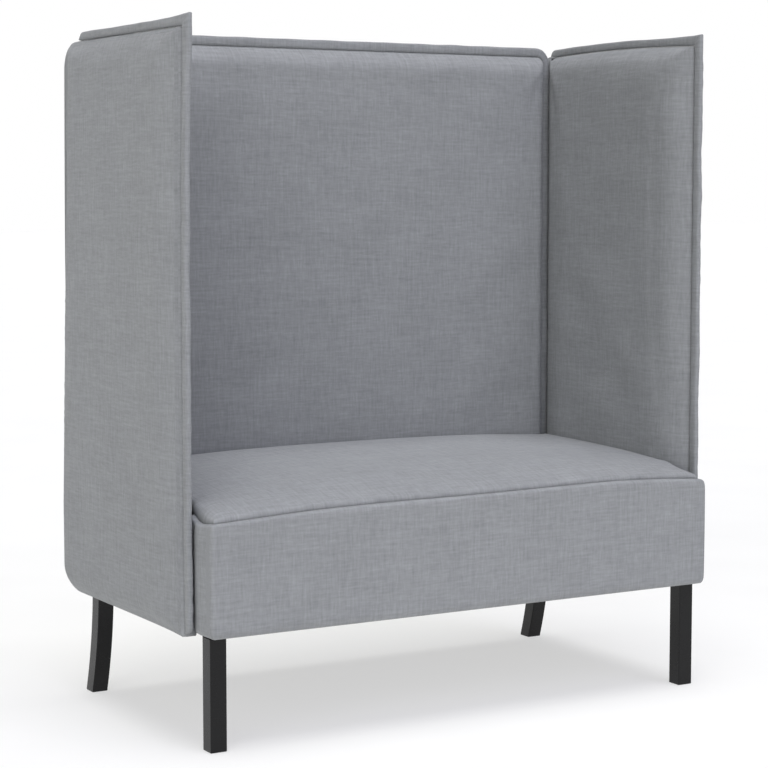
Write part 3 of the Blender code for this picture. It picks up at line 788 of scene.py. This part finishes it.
def make_band(name, pairs, to_world, middle, thick, seed, nodes, bend=None, creases=0.0):
    """A standing sewn band: soft sections along the seam, each between its base and tip, with closed ends."""
    base, tip = np.array(pairs).swapaxes(0, 1)
    steps = np.linalg.norm(np.diff((base + tip) / 2, axis=0), axis=1)
    along = np.concatenate([[0], np.cumsum(steps)])
    kinds = (BAND_SWAY, BAND_FLUTTER, BAND_PLUMP, BAND_WANDER)
    drawn = [size * waves(seed + k, *lengths)(along) for k, (size, *lengths) in enumerate(kinds)]
    sway, flutter, plump, wander = drawn
    flutter = flutter * (1 + creases * np.exp(-along / CREASE_REACH))
    profile = [*BAND_PROFILE, *((w, -t) for w, t in BAND_PROFILE[-2::-1])]
    points = []
    flats = []
    for k in range(len(base)):
        for j, (w, t) in enumerate(profile):
            point = base[k] + (tip[k] - base[k]) * w * (1 + wander[k] * w)
            height = middle + t * thick / 2 * (1 + plump[k]) + (sway[k] + flutter[k]) * w
            points.append((point[0], point[1], height))
            flats.append((along[k], BAND_CLOTH + j * BAND_GIRTH))
    count = len(profile)
    faces = strip_faces(len(base), count)
    faces.append(tuple(range(count)))
    faces.append(tuple(range((len(base) - 1) * count, len(base) * count)))
    bm = sheet_bm(points, flats, faces)
    settle(bm, to_world, bend)
    bmesh.ops.remove_doubles(bm, verts=bm.verts, dist=WELD)
    piece = new_piece(name, bm, FABRIC, nodes)


def run(start, end, step=BAND_STEP):
    """Points from start to end, evenly spaced."""
    count = max(2, round(np.linalg.norm(np.subtract(end, start)) / step) + 1)
    return np.linspace(start, end, count)


# Bands of the wings: width along the top and at the tip, rear ends, rounds of the ends, creases at the foot
BAND_TOP = 16 * MM
BAND_PEAK = 22 * MM
BAND_FALL = 60 * MM
BAND_END = {"left": -13 * MM, "right": 28 * MM}
FOOT_ROUND = 22 * MM
END_ROUND = 10 * MM
END_LEAST = 0.05
TIP_STEP = 4 * MM
CREASES = 5.0


def make_wing_band(label, to_world, seed, bend):
    """The band up the wing's front edge and back along its top, with a raised square tip at the corner."""
    wide = WING_LOW.y - WING_BAND_LOW.y
    foot = WING_BAND_LOW.z - WING_LOW.z
    end = WING_BAND_HIGH.y - WING_LOW.y + BAND_END[label]
    straight = WING_DEPTH - WING_CORNERS[2]
    front = -TOUCH
    top = WING_RISE + TOUCH

    def top_edge(u):
        return top + BAND_TOP + (BAND_PEAK - BAND_TOP) * math.exp(-(u + wide) / BAND_FALL)

    pairs = []
    for _, v in run((front, foot), (front, top)):
        reach = wide * math.sqrt(1 - max(0.0, 1 - (v - foot) / FOOT_ROUND) ** 2)
        pairs.append(((front, v), (front - reach, v)))
    for _, v in run((0, top), (0, top_edge(-wide)), TIP_STEP)[1:]:
        pairs.append(((front, top), (front - wide, v)))
    for u, _ in run((-wide, 0), (0, 0), TIP_STEP)[1:]:
        pairs.append(((front, top), (front + u, top_edge(u))))
    for u, _ in run((front, 0), (end, 0))[1:]:
        turn = max(0.0, 1 - (end - u) / END_ROUND)
        fall = WING_CORNERS[2] - math.sqrt(WING_CORNERS[2] ** 2 - max(0.0, u - straight) ** 2)
        rise = (top_edge(u) - top) * math.sqrt(max(END_LEAST, 1 - turn**2))
        pairs.append(((u, top - fall), (u, top - fall + rise)))
    thick = BAND_OUTER - BAND_INNER
    nodes = [f"{label}_wing_flange"]
    make_band(f"{label}_wing_band", pairs, to_world, BAND_MIDDLE, thick, seed, nodes, bend, CREASES)


FACING_THICK = 0.8 * MM
FACING_COLUMNS = 5
FACING_STEP = 12 * MM
FACING_SLACK = 0.3 * MM
FACING_LENGTHS = (40 * MM, 160 * MM)


def make_wing_facing(label, to_world, seed, bend):
    """The strip of cloth on the wing's inner face behind the back's edge."""
    radius = WING_CORNERS[2]
    start = WING_PAD_DEPTH + TOUCH
    foot = WING_PAD_FOOT + WALL
    levels = np.linspace(foot, WING_RISE - WALL, round((WING_RISE - foot) / FACING_STEP))
    past = np.clip(levels - (WING_RISE - radius), 0, None)
    ends = WING_DEPTH - radius + np.sqrt(radius**2 - past**2) - MM
    shares = np.linspace(0, 1, FACING_COLUMNS)
    u = start + (ends[None, :] - start) * shares[:, None]
    v = np.broadcast_to(levels, u.shape)
    inside = np.sin(math.pi * shares)[:, None]
    h = -TOUCH - FACING_SLACK * inside * (1 + ripples(seed, *FACING_LENGTHS)(u, v))
    points = np.stack([u, v, h], -1)
    bm = grid_bm(points, points)
    settle(bm, to_world, bend)
    piece = new_piece(f"{label}_wing_facing", bm, FABRIC, [])
    thicken(piece, FACING_THICK, 0.0)


# Back
BACK_WIDTH = BACK_PAD_HIGH.x - BACK_PAD_LOW.x
BACK_RISE = BACK_PAD_HIGH.z - BACK_PAD_LOW.z
BACK_CORNERS = (6 * MM, 6 * MM, 15 * MM, 15 * MM)
BACK_THICK = BACK_PAD_HIGH.y - BACK_PAD_LOW.y - PAD_CROWN
BACK_REAR_THICK = BACK_REAR_HIGH.y - BACK_REAR_LOW.y - PAD_CROWN
BACK_FRAME_THICK = 25 * MM
BAND_FRONT = BACK_BAND_LOW.y - BACK_PAD_HIGH.y
BAND_REAR = BACK_BAND_HIGH.y - BACK_REAR_LOW.y
BACK_EDGES = {
    "top": (46 * MM, 2.8, TOUCH - BAND_FRONT),
    "left": (32 * MM, 2.6, TOUCH - BAND_FRONT),
    "right": (32 * MM, 2.6, TOUCH - BAND_FRONT),
    "bottom": (24 * MM, 2.0, 2 * MM),
}
BACK_SEAMS = ("left", "right", "top")
BACK_CLOSE = 6 * MM
BACK_TURNS = 9
BACK_REAR_EDGE = (36 * MM, 2.0, BAND_REAR)


def make_back(seed):
    """The back: its front and rear pads and the band round them."""

    def front_shape(grid):
        return pad_height(grid, BACK_THICK, BACK_EDGES, BACK_SEAMS)

    panel = Panel(BACK_WIDTH, BACK_RISE, BACK_CORNERS)
    to_front = axes((BACK_PAD_LOW.x, BACK_PAD_HIGH.y, BACK_PAD_LOW.z), (1, 0, 0), (0, -1, 0))
    nodes = ["back_inner_cover", "back_inner_foam"]
    make_pad("back_front_pad", panel, front_shape, [(BACK_CLOSE, 0.0)], to_front, seed, nodes)

    def rear_shape(grid):
        return pad_height(grid, BACK_REAR_THICK, dict.fromkeys(BACK_SEAMS, BACK_REAR_EDGE), BACK_SEAMS)

    to_rear = axes(BACK_REAR_LOW, (1, 0, 0), (0, 1, 0))
    nodes = ["back_outer_cover", "back_outer_foam"]
    steps = [(0.0, WALL), (WALL, WALL), (WALL, BACK_FRAME_THICK + TOUCH)]
    make_pad("back_rear_pad", panel, rear_shape, steps, to_rear, seed + SEED_STEP, nodes)
    make_back_band(seed + 2 * SEED_STEP, to_rear)


def make_back_band(seed, to_world):
    """The band up one side of the back, over its top and down the other side."""
    wide = BACK_BAND_HIGH.z - BACK_PAD_HIGH.z
    foot = TOUCH
    radius = BACK_CORNERS[2]
    bends = np.linspace(0, math.pi / 2, BACK_TURNS)[1:-1]
    pairs = []

    def add(point, away):
        pairs.append([np.add(point, np.multiply(away, reach)) for reach in (TOUCH, wide)])

    def add_corner(centre, side, angles):
        for angle in angles:
            away = (side * math.cos(angle), math.sin(angle))
            add((centre + radius * away[0], BACK_RISE - radius + radius * away[1]), away)

    for _, v in run((0, foot), (0, BACK_RISE - radius)):
        add((0, v), (-1, 0))
    add_corner(radius, -1, bends)
    for u, _ in run((radius, 0), (BACK_WIDTH - radius, 0)):
        add((u, BACK_RISE), (0, 1))
    add_corner(BACK_WIDTH - radius, 1, bends[::-1])
    for _, v in run((0, BACK_RISE - radius), (0, foot)):
        add((BACK_WIDTH, v), (1, 0))
    middle = (BAND_FRONT + BAND_REAR) / 2
    make_band("back_band", pairs, to_world, middle, BAND_REAR - BAND_FRONT, seed, ["back_flange"])


# Seat: height of the front seam along the box in millimetres, from left to right
SEAM_LINE = (
    (-541, 411.8), (-511, 411.8), (-484, 413.4), (-445, 416.1), (-405, 418.5), (-365, 419.8),
    (-305, 422.0), (-243, 422.7), (-159, 424.1), (-73, 424.1), (14, 424.5), (104, 425.4),
    (195, 426.6), (289, 427.2), (385, 426.7), (458, 423.3), (508, 420.1), (541, 417.8),
)
SEAM_DEGREE = 6
SEAM = np.polynomial.Polynomial.fit(*(np.array(SEAM_LINE).T * MM), SEAM_DEGREE)

# Rise of the side seams beside the wings in millimetres, from the box's front backwards
EAR_LINE = ((0, 0.0), (9, 0.0), (33, -3.0), (49, -4.3), (61, -2.7), (73, 1.7), (84, 5.4), (105, 13.0))
EAR_DEGREE = 5
EAR = np.polynomial.Polynomial.fit(*(np.array(EAR_LINE).T * MM), EAR_DEGREE)

# Seams of the seat: how far the border is drawn in and the seat rolls over, and the ears beside the wings
SIDE_PULL = {"left": 1 * MM, "right": 8 * MM}
SIDE_PULL_REACH = 20 * MM
FRONT_PULL = 3 * MM
FRONT_PULL_REACH = 16 * MM
SEAM_DIP = 6.5 * MM
SEAM_DIP_REACH = 4.5 * MM
SEAM_DEPTH = 6 * MM
SEAM_ROLL = 5 * MM
EAR_END = {label: BOX_HIGH.x - pull - SEAM_DIP for label, pull in SIDE_PULL.items()}
EAR_ROUND = 25 * MM
EAR_START = BOX_LOW.y + 85 * MM
EAR_REAR = BOX_LOW.y + 135 * MM
SEAT_FRONT = BOX_LOW.y + FRONT_PULL + SEAM_DIP
SEAT_REAR = SEAT_HIGH.y + 2.5 * MM
SEAT_GAP = 2 * MM

# Crown of the seat: height at the rear, fall towards the sides, corners drawn back, tuck beside the pads
REAR_HEIGHT = 0.4745
REAR_FALL = 14.5 * MM
REAR_FALL_AT = 0.5
REAR_FALL_POWER = 2.6
CROWN_POWER = 0.55
BOX_CORNER = 7 * MM
SEAT_CORNER = BOX_CORNER - SEAM_DIP
CORNER_FROM = 0.494
CORNER_FULL = 0.522
CORNER_BACK = 22 * MM
CORNER_REACH = 40 * MM
TUCK = 7 * MM
TUCK_REACH = 10 * MM
SEAT_TURN = 2 * MM
GATHER_SMALL = (16 * MM, 40 * MM)
GATHER_WIDE = (90 * MM, 240 * MM)
GATHER_REACH = 18 * MM
GATHER_START = 5 * MM
SEAT_SWAY = (130 * MM, 380 * MM)
SEAT_SWAY_START = 60 * MM


def seat_half(ear_end, y):
    """Half-width of the seat at a depth: to its side seams in front of the wings, then to the wings' pads."""
    near = np.maximum(0, y - SEAT_FRONT)
    corner = SEAT_CORNER * dip(near, SEAT_CORNER)
    face = WING_PAD_HIGH.x - edge_height(y - WING_LOW.y, INNER_THICK, *INNER_EDGES["left"])
    return np.minimum(ear_end - corner, face - SEAT_GAP)


def make_seat(seed):
    """The crowned seat top: seamed to the box in front, tucked down beside the wings and at the back."""
    columns = lines(2 * BOX_HIGH.x) / BOX_HIGH.x - 1
    rows = lines(SEAT_REAR - SEAT_FRONT) + SEAT_FRONT
    for final in (False, True):
        across, y = np.meshgrid(columns, rows, indexing="ij")
        ear_end = np.where(across < 0, EAR_END["left"], EAR_END["right"])
        half = seat_half(ear_end, y)
        x = across * half
        side = half - np.abs(x)
        near = y - SEAT_FRONT
        depth = np.clip(near / (SEAT_REAR - SEAT_FRONT), 0, 1)
        ear = 1 - ramp(y, EAR_START, EAR_REAR)
        seam = SEAM(x) + EAR(y - BOX_LOW.y) * ear * ramp(np.abs(x), ear_end - EAR_ROUND, ear_end)
        rear = REAR_HEIGHT - REAR_FALL * (np.abs(x) / REAR_FALL_AT) ** REAR_FALL_POWER
        crown = (rear - SEAM_DEPTH - seam) * np.sin(math.pi / 2 * depth**CROWN_POWER)
        crown = crown * (1 - ear * dip(side, EAR_ROUND))
        seam_gap = np.minimum(near, side + (1 - ear))
        tuck_gap = np.minimum(SEAT_REAR - y, side + ear)
        roll = SEAM_DEPTH * (1 - np.maximum(dip(near, SEAM_ROLL), ear * dip(side, SEAM_ROLL)))
        tuck = TUCK * (1 - ear) * dip(np.minimum(SEAT_REAR - y, side), TUCK_REACH)
        z = seam + roll + crown - tuck
        corner = ramp(np.abs(x), CORNER_FROM, CORNER_FULL) * ramp(y, SEAT_REAR - CORNER_REACH, SEAT_REAR)
        points = np.stack([x, y + CORNER_BACK * corner, z], -1)
        if not final:
            move = swell(points, np.minimum.reduce([near, side, SEAT_REAR - y]))
            columns = halved(columns)
            rows = halved(rows)
    small = waves(seed, *GATHER_SMALL)
    wide = waves(seed + 1, *GATHER_WIDE)
    gather = PUCKER * (small(x) + wide(x)) / 2 * np.exp(-seam_gap / GATHER_REACH)
    points[..., 2] += gather * np.clip(seam_gap / GATHER_START, 0, 1)
    calm = np.clip(np.minimum(seam_gap, tuck_gap) / SEAT_SWAY_START, 0, 1)
    points[..., 2] += SWAY * (ripples(seed + 2, *SEAT_SWAY)(x, y) * calm)
    points = points + move
    bm = grid_bm(points, points)
    rim = [edge for edge in bm.edges if edge.is_boundary]
    floor = corners("seat_foam")[0].z

    def inward(point, flat):
        shrink = 1 - WALL / BOX_HIGH.x
        return Vector((point.x * shrink, point.y * shrink, point.z - SEAT_TURN)), flat

    def down(point, flat):
        return Vector((point.x, point.y, floor)), flat + Vector((0, point.z - floor, 0))

    rim = extrude_rim(bm, rim, inward)
    rim = extrude_rim(bm, rim, down)
    bmesh.ops.holes_fill(bm, edges=rim, sides=0)
    write_weave(bm)
    piece = new_piece("seat_top", bm, FABRIC, ["seat_top_cover", "seat_foam"])


def rounded_plan(half, near, far, radius, turns):
    """Points round a rounded rectangle, anticlockwise from its front left, with outward directions."""
    centres = (
        (-half + radius, near + radius, 180),
        (half - radius, near + radius, 270),
        (half - radius, far - radius, 0),
        (-half + radius, far - radius, 90),
    )
    points = []
    away = []

    def on_arc(cx, cy, degrees):
        out = (math.cos(math.radians(degrees)), math.sin(math.radians(degrees)))
        return (cx + radius * out[0], cy + radius * out[1]), out

    for (cx, cy, start), after in zip(centres, (*centres[1:], centres[0])):
        for t in range(turns + 1):
            point, out = on_arc(cx, cy, start + 90 * t / turns)
            points.append(point)
            away.append(out)
        goal, out = on_arc(*after)
        between = run(points[-1], goal, PLAN_STEP)[1:-1]
        points.extend(between)
        away.extend([out] * len(between))
    return np.array(points), np.array(away)


# Border of the seat box: levels above its foot and below its seam, and the roll at its foot
PLAN_STEP = 8 * MM
BOX_TURNS = 8
EAR_BEHIND = 17 * MM
WING_GAP = WING_LOW.y - BOX_LOW.y
EAR_DEPTH = WING_GAP + EAR_BEHIND
SIDE_TOP = BACK_PAD_LOW.z - TOUCH
FOOT_LEVELS = np.array([0, 0.4, 1, 2.1, 3.5, 5.5, 8, 11, 15, 20, 28]) * MM
FOOT_ROLL = np.array([8.0, 6.4, 5.3, 4.1, 3.0, 1.9, 1.05, 0.45, 0.1, 0, 0]) * MM
SEAM_LEVELS = np.array([30, 22, 16, 12, 8.5, 6, 4.2, 2.7, 1.5, 0.6, 0]) * MM
BORDER_STEPS = 12
REAR_ROLL = 0.4
BORDER_BELLY = 2.6 * MM
BORDER_THICK = 0.5 * MM
EAR_BULGE = 5 * MM
BULGE_FADE = 25 * MM
BULGE_FULL = 0.6
BULGE_END = 0.8
BELLY_POWER = 0.6
TUG_LENGTHS = (16 * MM, 42 * MM)
TUG_REACH = 70 * MM
TUG_LEAST = 0.15 * MM
TUG_CORNER = 0.6 * MM
CALM_LENGTHS = (120 * MM, 320 * MM)
CALM = 0.7 * MM


def make_border(seed):
    """The fabric band round the seat box, drawn in at its seam and turned under at its foot."""
    plan, away = rounded_plan(BOX_HIGH.x, BOX_LOW.y, BOX_HIGH.y, BOX_CORNER, BOX_TURNS)
    steps = np.linalg.norm(np.diff(plan, axis=0, append=plan[:1]), axis=1)
    along = np.concatenate([[0], np.cumsum(steps)[:-1]])
    plan_x, plan_y = plan.T
    depth = plan_y - BOX_LOW.y
    exposed = depth < EAR_DEPTH
    top = np.where(exposed, SEAM(plan_x) + EAR(np.minimum(depth, EAR_DEPTH)), SIDE_TOP)
    foot = BOX_LOW.z
    share_x = ramp(np.abs(plan_x), 0.0, BOX_HIGH.x) * np.sign(plan_x)
    side_pull = np.where(plan_x < 0, SIDE_PULL["left"], SIDE_PULL["right"]) * exposed * share_x
    front_pull = FRONT_PULL * exposed * (1 - depth / EAR_DEPTH)
    bulge = EAR_BULGE * ramp(depth, BOX_CORNER, BULGE_FULL * WING_GAP)
    bulge = bulge * (1 - ramp(depth, BULGE_END * WING_GAP, WING_GAP))
    corner_near = np.exp(-(((BOX_HIGH.x - np.abs(plan_x)) / TUG_REACH) ** 2)) * exposed
    tug = waves(seed, *TUG_LENGTHS)(along)
    calm = waves(seed + 1, *CALM_LENGTHS)(along)
    levels = [foot + mark + 0 * top for mark in FOOT_LEVELS]
    low = foot + FOOT_LEVELS[-1]
    for share in np.linspace(0, 1, BORDER_STEPS + 1)[1:-1]:
        levels.append(low + (top - SEAM_LEVELS[0] - low) * share)
    levels.extend(top - mark for mark in SEAM_LEVELS)
    rows = []
    for z in levels:
        below = top - z
        above = z - foot
        belly = np.clip(np.sin(math.pi * above / (top - foot)), 0, 1) ** BELLY_POWER * exposed
        pulls = (tug * (TUG_LEAST + TUG_CORNER * corner_near) + CALM * calm) * belly
        fade = (1 - dip(below, BULGE_FADE)) * (1 - dip(above, BULGE_FADE))
        turned = np.interp(above, FOOT_LEVELS, FOOT_ROLL) * np.where(exposed, 1.0, REAR_ROLL)
        out = BORDER_BELLY * exposed + pulls + bulge * fade - turned
        out = out - (SEAM_DIP + BORDER_BELLY) * dip(below, SEAM_DIP_REACH) * exposed
        x = plan_x - side_pull * dip(below, SIDE_PULL_REACH) + away[:, 0] * out
        y = plan_y + front_pull * dip(below, FRONT_PULL_REACH) + away[:, 1] * out
        rows.append(np.stack([x, y, z], -1))
    uv = np.concatenate([np.stack([along, row[:, 2]], -1) for row in rows])
    bm = sheet_bm(np.concatenate(rows), uv, strip_faces(len(rows), len(plan)))
    write_weave(bm)
    piece = new_piece("seat_box_border", bm, FABRIC, ["seat_border"])
    thicken(piece, BORDER_THICK, -1.0)


DUST_CELLS = (48, 26)
DUST_TOUCH = 0.2 * MM
DUST_SAG = 4 * MM
DUST_RIPPLE = 0.5 * MM
DUST_LENGTHS = (60 * MM, 180 * MM)
DUST_THICK = 0.6 * MM


def make_dust_cover(seed):
    """The dust cloth stapled under the box, sagging a little between its edges."""
    low, high = corners("seat_dust_cover")
    xs = np.linspace(low.x, high.x, DUST_CELLS[0] + 1)
    ys = np.linspace(low.y, high.y, DUST_CELLS[1] + 1)
    x, y = np.meshgrid(xs, ys, indexing="ij")
    share_x = (x - low.x) / (high.x - low.x)
    share_y = (y - low.y) / (high.y - low.y)
    inside = np.clip(16 * share_x * (1 - share_x) * share_y * (1 - share_y), 0, 1)
    ripple = DUST_RIPPLE * ripples(seed, *DUST_LENGTHS)(x, y)
    z = high.z - DUST_TOUCH + (ripple - DUST_SAG) * inside
    points = np.stack([x, y, z], -1)
    bm = grid_bm(points, points)
    write_weave(bm)
    piece = new_piece("dust_cloth", bm, DUST, ["seat_dust_cover"])
    thicken(piece, DUST_THICK, -1.0)


# Legs
LEG_ROUND = 1.6 * MM
LEG_BEND = 0.208
LEG_LEAN = 7 * MM
LEG_RINGS = 44
LEG_TURNS = 4
LEG_CHAMFER = 0.6 * MM
LEG_FOOT = 1 * MM
GLIDE_BORE = 12.8 * MM
GLIDE_ROOM = 0.2 * MM


def make_leg(name):
    """A square leg with eased edges, bored for its glide; the rear ones sweep backwards."""
    low, high = corners(name)
    half = (high.x - low.x) / 2
    sweep = (high.y - low.y) - 2 * half
    centre_x = (low.x + high.x) / 2
    start_y = low.y + half
    lean = LEG_LEAN if sweep > MM else 0.0
    foot_curve = (1 - low.z / LEG_BEND) ** 2
    inset, _ = rounded_plan(half - LEG_CHAMFER, LEG_CHAMFER - half, half - LEG_CHAMFER, LEG_ROUND, LEG_TURNS)
    full, _ = rounded_plan(half, -half, half, LEG_ROUND, LEG_TURNS)
    bore = inset * GLIDE_BORE / np.linalg.norm(inset, axis=1, keepdims=True)
    levels = [(low.z + GLIDE_ROOM, bore), (LEG_FOOT, bore), (LEG_FOOT, inset)]
    levels.extend((z, full) for z in np.linspace(LEG_FOOT + LEG_CHAMFER, high.z, LEG_RINGS))
    bm = bmesh.new()
    loops = []
    for z, plan in levels:
        level = max(z, low.z)
        back = sweep * max(0.0, 1 - level / LEG_BEND) ** 2 / foot_curve
        back -= lean * (level - low.z) / (high.z - low.z)
        loops.append([bm.verts.new((centre_x + x, start_y + back + y, z)) for x, y in plan])
    count = len(loops[0])
    for near, far in zip(loops, loops[1:]):
        for j in range(count):
            after = (j + 1) % count
            bm.faces.new((near[j], near[after], far[after], far[j]))
    bm.faces.new(loops[0][::-1])
    bm.faces.new(loops[-1])
    piece = new_piece(name + "_wood", bm, BLACK_PAINT, [name])
    piece.modifiers.new("edges", "WEIGHTED_NORMAL").keep_sharp = True


# Camera, floor and light
CAMERA_PLACE = (-2.1525, -3.6409, 0.9987)
CAMERA_TURN = (84.725, 0.0, -30.323)
CAMERA_LENS = 101.27
SENSOR = 36.0
FLOOR_SIZE = 40.0
FLOOR_CELLS = 8
WORLD_COLOUR = (1.0, 1.0, 1.0, 1.0)
WALL_LIGHT = 1.0
CEILING_LIGHT = 0.0
WALL_FADE = (0.14, 0.40)

# Lamps: direction they shine from, width of the source in degrees, strength, colour
LAMPS = (
    ("ceiling", (0.0, -0.1, 1.0), 40, 2.5, (1.0, 1.0, 1.0)),
    ("front", (0.0, -1.0, 1.2), 50, 0.6, (1.0, 1.0, 1.4)),
    ("left", (-0.7, -0.7, 0.4), 40, 0.95, (1.0, 1.0, 1.0)),
)


def make_world():
    """A white studio wall all round, darker towards the ceiling."""
    s = Shader("studio", "worlds", "Background")
    height = s.lengths(s.place("Generated"))[2]
    ends = (*WALL_FADE, WALL_LIGHT, CEILING_LIGHT)
    s.set(Color=WORLD_COLOUR, Strength=s.span(height, *ends, interpolation_type="SMOOTHSTEP"))
    return s.owner


def make_stage():
    """The camera at the photograph's angle, a plain floor, the wall and the lamps."""
    scene = bpy.context.scene
    data = bpy.data.cameras.new("camera")
    data.lens = CAMERA_LENS
    data.sensor_width = SENSOR
    data.clip_end = 5 * FLOOR_SIZE
    camera = add_object("camera", data)
    camera.location = CAMERA_PLACE
    camera.rotation_euler = [math.radians(a) for a in CAMERA_TURN]
    scene.camera = camera
    scene.view_settings.view_transform = "Standard"

    bm = bmesh.new()
    bmesh.ops.create_grid(bm, x_segments=FLOOR_CELLS, y_segments=FLOOR_CELLS, size=FLOOR_SIZE)
    floor = bm_object("floor", bm, floor_paint("floor_look"))

    scene.world = make_world()

    for name, source, width, strength, colour in LAMPS:
        light = bpy.data.lights.new(name, "SUN")
        light.angle = math.radians(width)
        light.energy = strength
        light.color = colour
        lamp = add_object(name, light)
        lamp.rotation_euler = Vector(source).to_track_quat("Z", "Y").to_euler()


make_stage()
dress_frame()
for label, side in SIDES.items():
    make_wing(label, side, WING_SEEDS[label])
make_back(BACK_SEED)
make_seat(SEAT_SEED)
make_border(BORDER_SEED)
make_dust_cover(DUST_SEED)
for end in ("front", "rear"):
    for label in SIDES:
        make_leg(f"leg_{end}_{label}")
